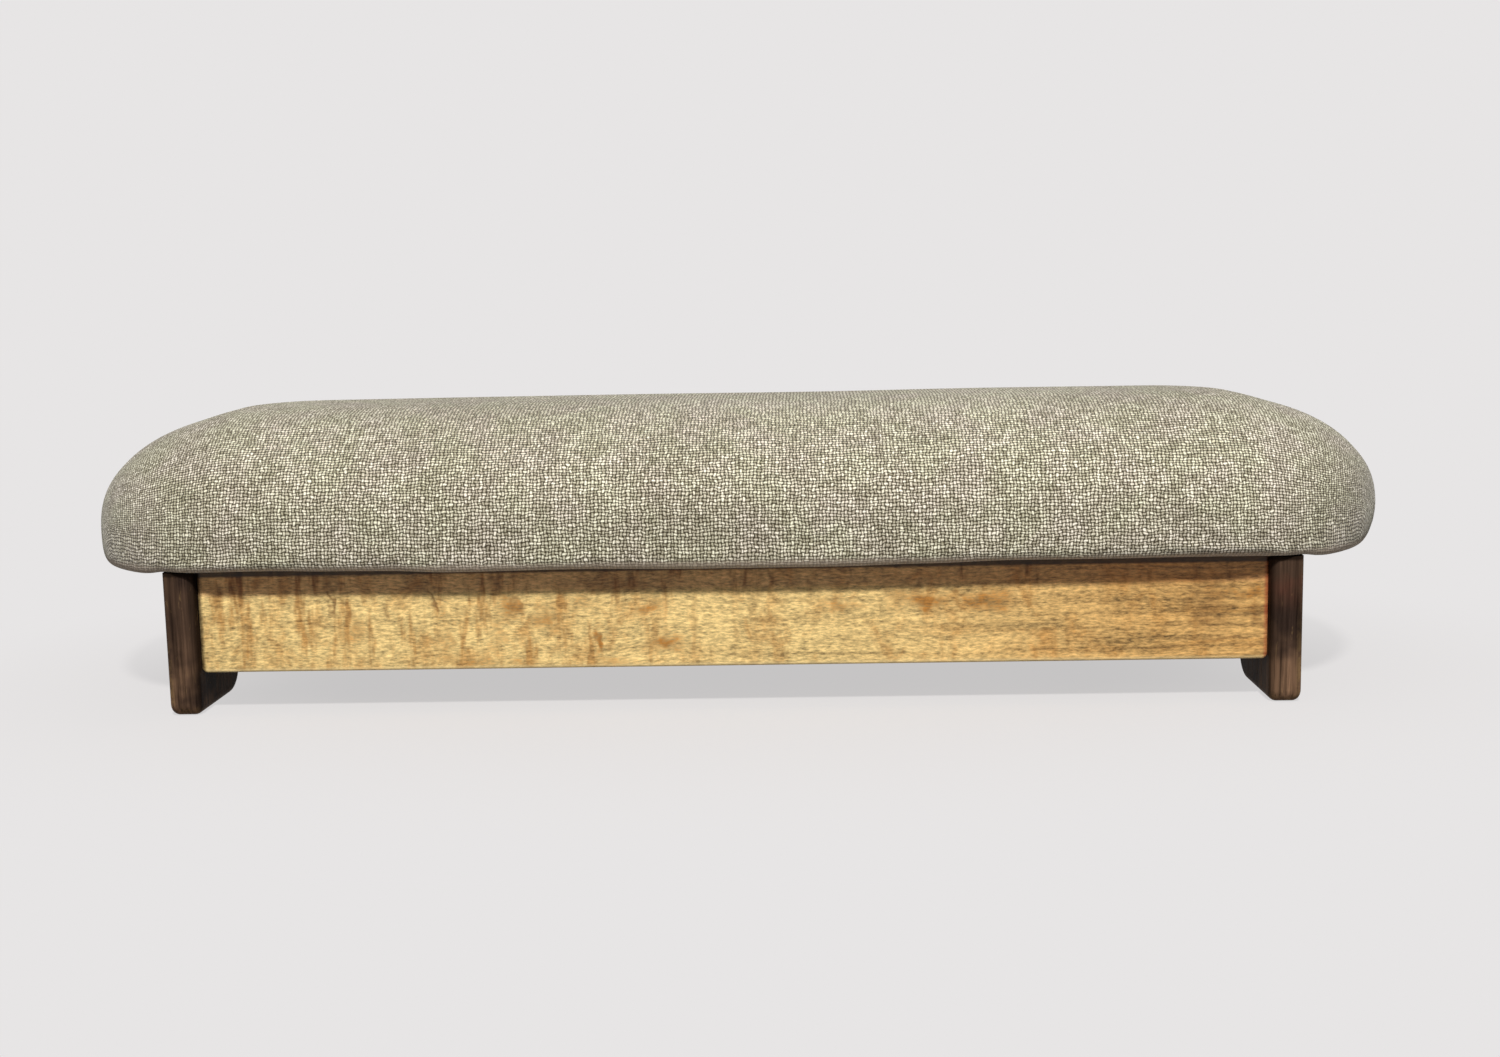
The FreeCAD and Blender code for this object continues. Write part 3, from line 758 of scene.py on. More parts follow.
def fill_with_pressure(piece, most):
    """Swells the cover with a cloth simulation whose stapled edge is held, and keeps the result."""
    cloth = piece.modifiers.new("filling", "CLOTH")
    settings = cloth.settings
    settings.use_pressure = True
    settings.uniform_pressure_force = CLOTH_PRESSURE
    settings.vertex_group_mass = PIN_GROUP
    settings.effector_weights.gravity = 0.0
    cloth.point_cache.frame_start = 1
    cloth.point_cache.frame_end = SIMULATION_FRAMES
    scene = bpy.context.scene
    for number in range(1, SIMULATION_FRAMES + 1):
        scene.frame_set(number)
    swollen = piece.evaluated_get(bpy.context.evaluated_depsgraph_get())
    moves = [end.co - start.co for start, end in zip(piece.data.vertices, swollen.data.vertices)]
    piece.modifiers.remove(cloth)
    scene.frame_set(1)
    for vertex, move in zip(piece.data.vertices, moves):
        if move.length > most:
            move = move * (most / move.length)
        vertex.co += move


def inside_edge(point, corner):
    """How far a point lies inside the cushion's widest outline, in plan."""
    x = abs(point.x) - (COVER_HIGH.x - corner)
    y = abs(point.y) - (COVER_HIGH.y - corner)
    return corner - math.hypot(max(x, 0.0), max(y, 0.0)) - min(max(x, y), 0.0)


def hem_lift(along):
    """Lift of the lower edge at a place along the stool, eased from one listed place to the next."""
    for (start, low), (end, high) in zip(HEM_LIFT, HEM_LIFT[1:]):
        if along <= end:
            return low + (high - low) * smooth(along, start, end)
    return 0.0


def settle_cloth(piece, shape, outside):
    """Makes the filled cover uneven: a wavy lower edge, folds over the legs, slack ends and soft dents."""
    bottom = COVER_LOW.z
    leg = (PANEL_LOW.x + PANEL_HIGH.x) / 2
    for vertex in piece.data.vertices[:outside]:
        co = vertex.co
        height = co.z - bottom
        low = ease(height, HEM_HEIGHT, 0.0) ** 2
        full = ease(height, 0.0, FULL_HEIGHT)
        edge = ease(inside_edge(co, shape.corner), shape.tuck + HEM_WIDTH, shape.tuck)
        out = Vector((co.x / COVER_HIGH.x * END_PUSH, co.y / COVER_HIGH.y, 0.0))
        # The very middle has no outward side.
        if out.length > 0.01:
            out.normalize()
        ripple = noise.noise(Vector((co.x * RIPPLE_WAVES, co.y * RIPPLE_WAVES, 3.0)))
        along, across, up = (value * waves for value, waves in zip(co, DENT_WAVES))
        dent = noise.noise(Vector((along, across, up + 5.0)))
        co += out * (RIPPLE * ripple * low * edge + DENT_OUT * dent * full)
        co.z += DENT_UP * dent * full
        past_front = ease(abs(co.y), *(PANEL_HIGH.y + past for past in PAST_FRONT))
        past_end = ease(abs(co.x), *(PANEL_HIGH.x + past for past in PAST_END))
        fold = math.exp(-(((abs(co.x) - leg - FOLD_PLACE) / FOLD_WIDTH) ** 2))
        slack_end = ease(abs(co.x), *(leg + past for past in SLACK_SPAN))
        drop = FOLD_DROP * fold + SLACK_DROP * slack_end
        front_side = co.x if co.y < 0 else -co.x
        co.z += (hem_lift(front_side) * past_front - drop * max(past_front, past_end)) * low * edge
        co.x -= DRAWN_IN * ease(height, DRAWN_HEIGHT, 0.0) ** 1.5 * ease(co.x, *DRAWN_SPAN) * edge


def weave_finish(cloth):
    """Coarse plain weave: pale heathered threads with slubs, painted light on their crowns and painted shade
    on their sides and in the gaps between them, and a painted lighter band along the lower edge.
    """
    finish = Finish("woven_cover")
    flat = finish.flat_place()
    moved = finish.stir(flat, flat, 60.0, 1.0, (0.0022, 0.0022, 0.0))
    moved = finish.stir(moved, flat, 240.0, 0.0, (0.0017, 0.0017, 0.0))
    along, across, _ = finish.split(moved)
    along = along / cloth.pitch
    across = across / (cloth.pitch * ROW_PITCH)
    # The thread of each kind at a point, the distance from its middle, and which of the two lies on top.
    column, row = along.floor(), across.floor()
    beside_column = abs((along - column) * 2 - 1)
    beside_row = abs((across - row) * 2 - 1)
    over = (column + row) % 2

    # Each thread's height and tone: round across it, a little lower towards the next crossing.
    weft_slub = finish.noise(finish.join(along * 0.22, row * 5.31, 2.0), 1.0, 1.0)
    warp_slub = finish.noise(finish.join(column * 5.17, across * 0.22, 7.0), 1.0, 1.0)
    stitch = finish.chance(column, row, 1.5)
    across_row, across_column = beside_row * beside_row, beside_column * beside_column
    hole = across_row * across_column
    weft = 1 - 0.62 * across_row - 0.10 * across_column - 0.45 * hole
    warp = 1 - 0.62 * across_column - 0.10 * across_row - 0.45 * hole
    weft_tone = weft_slub + 0.10 * finish.chance(row, 3.5, 0.5)
    warp_tone = warp_slub + 0.10 * finish.chance(column, 8.5, 0.5)
    height = over * weft + (1 - over) * warp
    tone = over * weft_tone + (1 - over) * warp_tone - 0.55

    fibre = finish.noise(flat, 1500.0, 1.0) - 0.5
    patch = finish.noise(flat, 9.0, 2.0) - 0.5
    # Painted light and shade: the thread's height makes its crown lighter and the gaps darker; tone, stitch,
    # fibre and patch vary the yarn's own colour.
    light = 1.50 * height + 0.60 * tone + 0.34 * (stitch - 0.5) + 0.60 * fibre + 0.20 * patch - 0.63
    colour = finish.ramp(
        light,
        (0.02, cloth.gap),
        (0.30, cloth.taupe),
        (0.55, cloth.greige),
        (0.80, cloth.oat),
        (1.00, cloth.cream),
    )
    drift = finish.noise(flat, 34.0, 2.0)
    colour = finish.blend(drift.rise(0.44, 0.62) * 0.5, colour, finish.tint(colour, cloth.moss))
    colour = finish.blend(drift.rise(0.46, 0.34) * 0.4, colour, finish.tint(colour, cloth.lilac))
    _, _, z = finish.split(finish.place())
    # Painted light: near the lower edge the cloth is blended towards a paler colour, lifting the shade where
    # it turns under the bulge.
    painted_lower_light = z.near(COVER_LOW.z, -0.0050, -0.0012)
    colour = finish.blend(painted_lower_light * 0.7, colour, cloth.painted_lower_light)
    return finish.surface(
        colour,
        0.94,
        height + 0.3 * fibre,
        depth=0.00030,
        Sheen_Weight=0.20,
        Sheen_Roughness=0.5,
        Specular_IOR_Level=0.12,
    )


def maple_finish(wood):
    """Golden maple: short flecks along the rail, brown blotches and drips, a browner right end, painted shade
    under the cushion and a pale lower edge that is partly a painted highlight.
    """
    finish = Finish("maple")
    place = finish.place()
    x, _, z = finish.split(place)
    drift = finish.noise(place, 11.0, 1.0)
    bent = finish.vector("ADD", place, finish.join(0.0, 0.0, drift * 0.008))
    fleck = finish.streaks(bent, (250.0, 200.0, 900.0), 2.0, 0.7) - 0.5
    grain = finish.streaks(bent, (11.0, 60.0, 300.0), 3.0, 0.6) - 0.5
    blotch = finish.streaks(place, (60.0, 60.0, 40.0), 4.0, 0.66, 0.5) - 0.5
    drip = finish.streaks(place, (110.0, 60.0, 26.0), 3.0, 0.6)
    band = finish.streaks(bent, (7.0, 40.0, 95.0), 3.0, 0.6)
    browner = x.rise(0.02, 0.27)
    top = z.near(RAIL_HIGH.z, 0.024, 0.010)

    colour = finish.blend(browner, wood.maple, wood.amber)
    warped = finish.stir(place, place, 120.0, 2.0, (0.024, 0.0, 0.018))
    figure = finish.marks(warped, RAIL_BLOTCHES) * (0.90 + 2.8 * blotch + 2.4 * fleck)
    mottle = (blotch + 0.5).rise(0.47, 0.72) * 0.65
    smear = drip.rise(0.48, 0.70) * x.rise(0.10, -0.10) * 0.75
    colour = finish.blend(figure.most(mottle).most(smear), colour, wood.figure)
    drips = finish.marks(warped, RAIL_DRIPS) * (1.0 + 1.2 * blotch)
    drips = drips.most(drip.rise(0.53, 0.74) * (0.05 + 0.85 * top))
    colour = finish.blend(drips, colour, wood.drip)
    colour = finish.blend(band.rise(0.50, 0.74) * (0.15 + 0.50 * browner), colour, wood.figure)
    colour = finish.shade(colour, (1.0 + 2.4 * fleck + (0.8 + 1.2 * browner) * grain).most(0.25))
    # Painted shade: the rails' top band, in the cushion's shadow, is tinted darker and redder.
    under_cushion_shade = z.near(RAIL_HIGH.z, 0.0165, 0.0120)
    colour = finish.blend(under_cushion_shade, colour, finish.tint(colour, wood.under_cushion_shade))
    # Partly a painted highlight along the eased lower edge, partly the finish worn there.
    edge = z.near(RAIL_LOW.z, -0.0030, -0.0006)
    colour = finish.blend(edge * 0.5, colour, wood.edge)
    joint = abs(x).near(RAIL_HIGH.x, 0.0034, 0.0012)
    # Painted shade: a dark line along the rails' tops, under the cushion's overhang.
    seam = z.near(RAIL_HIGH.z, 0.0044, 0.0028)
    # The joint line at the rails' ends takes the painted shade line's dark at the left end and the glue
    # line's red at the right.
    joint_colour = finish.blend(x.rise(-0.1, 0.1), wood.seam, wood.glue_line)
    colour = finish.blend(joint * (0.65 + 1.3 * blotch), colour, joint_colour)
    colour = finish.blend(seam * 0.90, colour, wood.seam)
    return finish.surface(
        colour,
        0.46 + 0.25 * grain,
        fleck + 0.5 * grain,
        depth=0.00004,
        Coat_Weight=0.04,
        Coat_Roughness=0.3,
        Specular_IOR_Level=0.25,
    )


def stain_finish(wood):
    """Dark stained board: upright streaks, patchy tone, scratches, edges rubbed pale near the floor, and
    painted shade on the inner faces, the inner front edges and under the cushion.
    """
    finish = Finish("stained_wood")
    place = finish.place()
    x, y, z = finish.split(place)
    grain = finish.streaks(place, (380.0, 260.0, 13.0), 3.0, 0.6) - 0.5
    pores = finish.streaks(place, (900.0, 900.0, 45.0), 1.0)
    patch = finish.noise(place, 30.0, 3.0, 0.6)
    scuff = finish.noise(place, 220.0, 3.0, 0.7)
    scratch = finish.streaks(place, (520.0, 520.0, 120.0), 2.0, 0.6, 0.8).rise(0.63, 0.74)
    outer = abs(x).near(PANEL_HIGH.x, 0.0050, 0.0004)
    inner = abs(x).near(PANEL_LOW.x, -0.0050, -0.0006)
    face = abs(y).near(PANEL_HIGH.y, 0.0065, 0.0010)
    near_floor = z.rise(0.052, 0.006)
    near_top = z.near(PANEL_HIGH.z, 0.034, 0.010)
    worn = outer * face * (0.10 + 0.90 * near_floor) * scuff.rise(0.36, 0.60)
    toe = z.rise(0.006, 0.0005) * scuff.rise(0.42, 0.62)
    # Painted shade: the panels' inner faces are darkened, as they lie in the shade of the rails and the
    # cushion.
    inside = abs(x).near(PANEL_LOW.x, -0.0012, -0.0002)

    colour = finish.blend(patch.rise(0.36, 0.60) * (0.20 + 0.80 * near_floor), wood.stain, wood.worn)
    colour = finish.blend(near_top * patch.rise(0.62, 0.40) * x.rise(-0.1, 0.1) * 0.5, colour, wood.russet)
    colour = finish.shade(colour, (1.0 + 3.2 * grain).most(0.3))
    colour = finish.shade(colour, (1 - 0.35 * pores.rise(0.56, 0.72)) * (1 - 0.55 * inside))
    colour = finish.blend(scratch * 0.16, colour, wood.rubbed)
    # Painted shade on the panels' inner front edges, beside the rails.
    colour = finish.blend(inner * face * 0.6, colour, wood.seam)
    colour = finish.blend(worn.most(toe * 0.4) * 0.55, colour, wood.rubbed)
    # Painted shade: a dark line along the panels' tops, under the cushion's overhang.
    seam = z.near(PANEL_HIGH.z, 0.0030, 0.0012)
    colour = finish.blend(seam * 0.85, colour, wood.seam)
    return finish.surface(
        colour,
        0.50 + 0.25 * grain,
        grain + 0.3 * pores,
        depth=0.00015,
        Specular_IOR_Level=0.015,
    )


def bare_finish(name, wood, per_metre, warmth):
    """Unfinished inner wood with its grain along one axis."""
    finish = Finish(name)
    place = finish.place()
    grain = finish.streaks(place, per_metre, 3.0, 0.6)
    patch = finish.noise(place, 30.0, 2.0)
    dark = tinted(wood.bare, warmth)
    colour = finish.blend((grain + 0.4 * (patch - 0.5)).rise(0.36, 0.70), wood.bare, dark)
    return finish.surface(colour, 0.66 + 0.14 * grain, grain, depth=0.0002)


def plywood_finish(wood):
    """Plywood: grain along its faces and thin layers across its edge."""
    finish = Finish("plywood")
    place = finish.place()
    _, _, z = finish.split(place)
    grain = finish.streaks(place, (7.0, 180.0, 40.0), 3.0, 0.6)
    layer = ((z - BOARD_LOW.z) / ((BOARD_HIGH.z - BOARD_LOW.z) / PLY_LAYERS)).floor() % 2
    dark = tinted(wood.bare, (0.72, 0.62, 0.52))
    colour = finish.blend(grain.rise(0.35, 0.72) * 0.7, wood.bare, dark)
    colour = finish.blend(layer * 0.35, colour, dark)
    return finish.surface(colour, 0.70 + 0.10 * grain, grain, depth=0.0002)


def dust_finish(metal):
    """Black felted dust cloth with bonded dimples."""
    finish = Finish("dust_cloth")
    place = finish.place()
    x, y, _ = finish.split(place)
    fibre = finish.noise(place, 900.0, 3.0, 0.7)
    weft, warp = (x / DIMPLE_PITCH) % 1, (y / DIMPLE_PITCH) % 1
    dimple = (abs(weft - 0.5) + abs(warp - 0.5)).rise(0.2, 0.6)
    patch = finish.noise(place, 20.0, 2.0)
    colour = finish.shade(finish.blend(patch, metal.dust_cloth, linear(54, 54, 57)), 0.55 + 0.9 * fibre)
    height = dimple + 0.6 * fibre
    return finish.surface(colour, 0.82 + 0.12 * fibre, height, depth=0.0002, Specular_IOR_Level=0.2)


def metal_finish(name, colour):
    """Plated steel with a slightly uneven gloss."""
    finish = Finish(name)
    place = finish.place()
    haze = finish.noise(place, 500.0, 3.0, 0.6)
    spots = finish.noise(place, 160.0, 2.0).rise(0.45, 0.70)
    plated = finish.blend(spots * 0.6, colour, dimmed(colour, 0.6))
    return finish.surface(plated, 0.26 + 0.3 * haze, haze, depth=0.00005, Metallic=1.0)


def dress(material, *names):
    """Gives CAD nodes their finish."""
    for name in names:
        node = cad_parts[name]
        if not node.material_slots:
            node.data.materials.append(material)
        for place in node.material_slots:
            place.material = material


def solid_piece(shape, name):
    """An object from a finished bmesh."""
    bmesh.ops.recalc_face_normals(shape, faces=shape.faces[:])
    mesh = bpy.data.meshes.new(name)
    shape.to_mesh(mesh)
    shape.free()
    return add_object(name, mesh)


def sculpt(name, rows, sides, radius_at):
    """A turned mesh from (height, radius) rows, whose radius may change with the side; ends are closed."""
    shape = bmesh.new()
    rings = []
    for number, (height, radius) in enumerate(rows):
        ring = []
        for side in range(sides):
            reach = radius_at(number, side, radius)
            turn = 2 * math.pi * side / sides
            ring.append(shape.verts.new((reach * math.cos(turn), reach * math.sin(turn), height)))
        rings.append(ring)
    for first, second in zip(rings, rings[1:]):
        for side in range(sides):
            after = (side + 1) % sides
            shape.faces.new((first[side], first[after], second[after], second[side]))
    shape.faces.new(rings[0][::-1])
    shape.faces.new(rings[-1])
    return solid_piece(shape, name)


def screw_pattern(metal, length):
    """A countersunk wood screw with a cross recess: its head's face at the origin, its tip along +Z."""
    head, shank = metal.screw_head / 2, metal.screw_shank / 2
    rim, start, root = head - 0.00005, THREAD_START * length, shank * THREAD_ROOT
    rows = [*RECESS, (0.0, head - 0.0003), (0.0002, rim), (0.0005, rim), (0.0027, shank), (start, shank)]
    for number in range(int((THREAD_END * length - start) / THREAD_TURN)):
        height = start + number * THREAD_TURN
        rows += [
            (height + 0.30 * THREAD_TURN, root),
            (height + 0.62 * THREAD_TURN, root),
            (height + THREAD_TURN, shank),
        ]
    rows += [(length - 0.0002, 0.0003)]

    def radius_at(number, side, radius):
        if number >= len(RECESS) or side % 6 == 0:
            return radius
        return radius * (RECESS_BESIDE if side % 6 in (1, 5) else RECESS_BETWEEN)

    return sculpt("screw_pattern", rows, SCREW_SIDES, radius_at)


def staple_pattern(metal, crown, leg):
    """A staple of flat wire: its crown along X with its outer face at the origin, its legs along +Z."""
    wire, gauge = metal.staple_wire / 2, metal.staple_gauge
    half = crown / 2
    soft = 0.5 * gauge
    outer = [(-half, leg), (-half, soft), (-half + soft, 0.0), (half - soft, 0.0), (half, soft), (half, leg)]
    inner = [(half - gauge, leg), (half - gauge, gauge), (-half + gauge, gauge), (-half + gauge, leg)]
    shape = bmesh.new()
    outline = outer + inner
    near = [shape.verts.new((x, -wire, z)) for x, z in outline]
    far = [shape.verts.new((x, wire, z)) for x, z in outline]
    total = len(outline)
    for here in range(total):
        after = (here + 1) % total
        shape.faces.new((near[here], near[after], far[after], far[here]))
    # Each side of the wire is five faces, by their points' numbers in the outline.
    strips = [(0, 1, 8, 9), (1, 2, 8), (2, 3, 7, 8), (3, 4, 7), (4, 5, 6, 7)]
    for strip in strips:
        shape.faces.new([near[number] for number in strip])
        shape.faces.new([far[number] for number in reversed(strip)])
    return solid_piece(shape, "staple_pattern")


def rounded_middle(points):
    """The mean of some points, rounded so that it sorts the same in each run."""
    return tuple(round(sum(point[axis] for point in points) / len(points), 4) for axis in range(3))


def solids_of(name):
    """The points of each separate solid in a CAD node."""
    shape = bmesh.new()
    shape.from_mesh(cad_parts[name].data)
    bmesh.ops.remove_doubles(shape, verts=shape.verts[:], dist=SAME_POINT)
    left = set(shape.verts)
    found = []
    while left:
        front = [left.pop()]
        group = []
        while front:
            vertex = front.pop()
            group.append(vertex.co.copy())
            for edge in vertex.link_edges:
                other = edge.other_vert(vertex)
                if other in left:
                    left.remove(other)
                    front.append(other)
        found.append(group)
    shape.free()
    return sorted(found, key=rounded_middle)


def box_of(points):
    """The lowest and highest corners of some points."""
    low = Vector([min(p[i] for p in points) for i in range(3)])
    high = Vector([max(p[i] for p in points) for i in range(3)])
    return low, high


def staple_seats(name):
    """Place and turn of each staple in a CAD node, with its crown and leg."""
    seats = []
    for points in solids_of(name):
        low, high = box_of(points)
        centre = (low + high) / 2
        apart = [point - centre for point in points]
        tilt = math.atan2(
            2 * sum(point.x * point.y for point in apart),
            sum(point.x ** 2 - point.y ** 2 for point in apart),
        ) / 2
        along = Vector((math.cos(tilt), math.sin(tilt), 0.0))
        crown = 2 * max(point.dot(along) for point in apart)
        seats.append((Vector((centre.x, centre.y, low.z)), Euler((0.0, 0.0, tilt))))
    return seats, crown, high.z - low.z


def screw_seats(name):
    """Place and turn of each screw in a CAD node, with its length."""
    seats = []
    for points in solids_of(name):
        low, high = box_of(points)
        size = high - low
        axis = max(range(3), key=lambda number: size[number])
        centre = (low + high) / 2

        def reach(end):
            near = [p - centre for p in points if abs(p[axis] - end) < SCREW_END]
            return max((math.hypot(*(p[i] for i in range(3) if i != axis)) for p in near), default=0.0)

        head_low = reach(low[axis]) > reach(high[axis])
        direction = Vector((0.0, 0.0, 0.0))
        direction[axis] = 1.0 if head_low else -1.0
        head = centre.copy()
        head[axis] = low[axis] if head_low else high[axis]
        seats.append((head, Vector((0, 0, 1)).rotation_difference(direction).to_euler()))
        length = size[axis]
    return seats, length


def fastener_tree():
    """A node group that sets a fastener at each point, turned as the point says, and makes it real."""
    group = bpy.data.node_groups.new("fastener_rows", "GeometryNodeTree")
    inputs = {"Geometry": "Geometry", "Fastener": "Object", "Size": "Float", "Metal": "Material"}
    for name, kind in inputs.items():
        group.interface.new_socket(name, in_out="INPUT", socket_type="NodeSocket" + kind)
    group.interface.new_socket("Geometry", in_out="OUTPUT", socket_type="NodeSocketGeometry")
    tree = NodeTree(group)
    points = tree.node("NodeGroupInput", output="Geometry")
    pattern = tree.node(
        "GeometryNodeObjectInfo",
        {"transform_space": "ORIGINAL"},
        {"Object": points.output("Fastener")},
        "Geometry",
    )
    turn = tree.node("GeometryNodeInputNamedAttribute", {"data_type": "FLOAT_VECTOR"}, {"Name": "turn"})
    rotation = tree.node("FunctionNodeEulerToRotation", values={"Euler": turn})
    size = tree.node("ShaderNodeCombineXYZ", values={key: points.output("Size") for key in "XYZ"})
    placed = tree.node(
        "GeometryNodeInstanceOnPoints",
        values={"Points": points, "Instance": pattern, "Rotation": rotation, "Scale": size},
    )
    real = tree.node("GeometryNodeRealizeInstances", values={"Geometry": placed})
    finished = tree.node(
        "GeometryNodeSetMaterial", values={"Geometry": real, "Material": points.output("Metal")}
    )
    output = tree.tree.nodes.new("NodeGroupOutput")
    tree.tree.links.new(finished.socket, output.inputs[0])
    return group


def set_fasteners(name, pattern, seats, material):
    """Sets copies of a pattern at their seats by Geometry Nodes and gives one plain mesh piece."""
    group = bpy.data.node_groups.get("fastener_rows") or fastener_tree()
    points = bpy.data.meshes.new(name + "_seats")
    points.from_pydata([place for place, _ in seats], [], [])
    turns = points.attributes.new("turn", "FLOAT_VECTOR", "POINT")
    for number, (_, turn) in enumerate(seats):
        turns.data[number].vector = turn[:]
    carrier = add_object(name + "_seats", points)
    modifier = carrier.modifiers.new("rows", "NODES")
    modifier.node_group = group
    values = {"Fastener": pattern, "Size": 1.0, "Metal": material}
    for item in group.interface.items_tree:
        if item.in_out == "INPUT" and item.name in values:
            modifier[item.identifier] = values[item.name]
    ready = carrier.evaluated_get(bpy.context.evaluated_depsgraph_get())
    mesh = bpy.data.meshes.new_from_object(ready)
    mesh.name = name
    piece = add_object(name, mesh)
    carrier.modifiers.remove(modifier)
    for spare in (carrier, pattern):
        spare_mesh = spare.data
        bpy.data.objects.remove(spare)
        bpy.data.meshes.remove(spare_mesh)
    return piece


class FOOTSTOOL_OT_cushion(bpy.types.Operator):
    """Makes the filled cushion in its woven cover"""

    bl_idname = "footstool.cushion"
    bl_label = "Cushion"

    def execute(self, context):
        shape = context.scene.footstool_cushion
        slack = shape.slack
        shell = Shell("cushion")
        rings = cushion_profile(shape, slack)
        loops = [shell.ring(ring) for ring in rings]
        for upper, lower in zip(loops, loops[1:]):
            shell.bridge(upper, lower)
        shell.close(loops[0], facing_up=True)
        outside = len(shell.points)

        last = rings[-1]
        board_corner = shape.corner - (COVER_HIGH.x - BOARD_HIGH.x)
        round_board = (BOARD_HIGH.x + POCKET_GAP, BOARD_HIGH.y + POCKET_GAP, board_corner + POCKET_GAP)
        pocket = (
            Ring(last.half_length, last.half_depth, last.corner, BOARD_LOW.z - POCKET_GAP),
            Ring(*round_board, BOARD_LOW.z - POCKET_GAP),
            Ring(*round_board, BOARD_HIGH.z + POCKET_GAP),
        )
        before = loops[-1]
        for ring in pocket:
            loop = shell.ring(ring)
            shell.bridge(before, loop)
            before = loop
        shell.close(before, facing_up=False)
        cushion = shell.make()

        held = cushion.vertex_groups.new(name=PIN_GROUP)
        first_held = (DOME_ROWS + HELD_ROW) * loop_size()
        last_held = len(loops) * loop_size()
        held.add(list(range(first_held, last_held)), 1.0, "REPLACE")
        held.add(list(range(outside, len(shell.points))), 1.0, "REPLACE")
        fill_with_pressure(cushion, shape.swell)
        settle_cloth(cushion, shape, outside)
        self.add_bake_map(cushion, last, outside)
        cushion.data.materials.append(weave_finish(shape))
        rounding = cushion.modifiers.new("smooth", "SUBSURF")
        rounding.levels = rounding.render_levels = 1
        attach(cushion, "root")
        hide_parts("seat_cover", "wadding", "foam_pad")
        return {"FINISHED"}

    @staticmethod
    def add_bake_map(cushion, last, outside):
        """A second map: the flat cloth fitted to the unit square, and the hidden pocket in its corner."""
        mesh = cushion.data
        flat = mesh.uv_layers[SHEET_MAP].data
        layer = mesh.uv_layers.new(name=BAKE_MAP)
        for face in mesh.polygons:
            hidden = max(face.vertices) >= outside
            for number in face.loop_indices:
                u, v = flat[number].uv
                u, v = u / (2 * last.flat_end), v / (2 * last.flat_side)
                corner, size = (BAKE_POCKET, BAKE_POCKET_SIZE) if hidden else (0.5, BAKE_FILL)
                layer.data[number].uv = (corner + size * u, corner + size * v)


class FOOTSTOOL_OT_dust_cloth(bpy.types.Operator):
    """Makes the black cloth stapled under the seat board"""

    bl_idname = "footstool.dust_cloth"
    bl_label = "Dust cloth"

    def execute(self, context):
        length, depth = DUST_HIGH.x, DUST_HIGH.y
        shape = context.scene.footstool_cushion
        corner = shape.corner - (COVER_HIGH.x - length)
        shell = Shell("dust_cloth")
        loops = []
        level = DUST_HIGH.z - DUST_THICKNESS
        for inset in DUST_INSETS:
            ring = Ring(length - inset, depth - inset, max(corner - inset, DUST_LEAST_CORNER), level)
            loops.append(shell.ring(ring))
        for outer, inner in zip(loops, loops[1:]):
            shell.bridge(outer, inner)
        shell.close(loops[-1], facing_up=False)
        cloth = shell.make()
        for vertex in cloth.data.vertices:
            x, y = vertex.co.x, vertex.co.y
            inside = min(DUST_SAG_HALF[0] - abs(x), DUST_SAG_HALF[1] - abs(y))
            uneven = 0.7 + 0.6 * noise.noise(Vector((x * 9, y * 14, 1.0)))
            vertex.co.z -= DUST_SAG * ease(inside, 0.0, DUST_SAG_SLOPE) * uneven
        cloth.data.materials.append(dust_finish(context.scene.footstool_metal))
        wall = cloth.modifiers.new("thickness", "SOLIDIFY")
        wall.thickness = DUST_THICKNESS
        wall.offset = 0.0
        area = 4 * length * depth - (4 - math.pi) * corner ** 2
        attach(cloth, "root")
        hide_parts("dust_cover")
        return {"FINISHED"}


class FOOTSTOOL_OT_frame_boards(bpy.types.Operator):
    """Finishes the end panels and the rails"""

    bl_idname = "footstool.frame_boards"
    bl_label = "Frame boards"

    def execute(self, context):
        wood = context.scene.footstool_wood
        dress(stain_finish(wood), *PANELS)
        dress(maple_finish(wood), *RAILS)
        return {"FINISHED"}


class FOOTSTOOL_OT_inner_wood(bpy.types.Operator):
    """Finishes the corner blocks, the dowels and the seat board"""

    bl_idname = "footstool.inner_wood"
    bl_label = "Inner wood"

    def execute(self, context):
        wood = context.scene.footstool_wood
        dress(bare_finish("block_wood", wood, (190.0, 190.0, 14.0), (0.80, 0.70, 0.58)), *BLOCKS)
        dress(bare_finish("beech", wood, (14.0, 300.0, 300.0), (0.78, 0.66, 0.56)), "rail_dowels")
        dress(plywood_finish(wood), "seat_board")
        return {"FINISHED"}


class FOOTSTOOL_OT_staples(bpy.types.Operator):
    """Sets the staples of the cover and of the dust cloth"""

    bl_idname = "footstool.staples"
    bl_label = "Staples"

    def execute(self, context):
        metal = context.scene.footstool_metal
        finish = metal_finish("staple_wire", metal.steel)
        for name, node in (("cover_staple_row", "cover_staples"), ("dust_staple_row", "dust_cover_staples")):
            seats, crown, leg = staple_seats(node)
            piece = set_fasteners(name, staple_pattern(metal, crown, leg), seats, finish)
            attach(piece, "root")
            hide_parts(node)
        return {"FINISHED"}


class FOOTSTOOL_OT_screws(bpy.types.Operator):
    """Sets the screws of the seat and of the corner blocks"""

    bl_idname = "footstool.screws"
    bl_label = "Screws"

    def execute(self, context):
        metal = context.scene.footstool_metal
        finish = metal_finish("screw_steel", metal.zinc)
        for name, node in (("seat_screw_set", "seat_screws"), ("block_screw_set", "block_screws")):
            seats, length = screw_seats(node)
            piece = set_fasteners(name, screw_pattern(metal, length), seats, finish)
            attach(piece, "root")
            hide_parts(node)
        return {"FINISHED"}


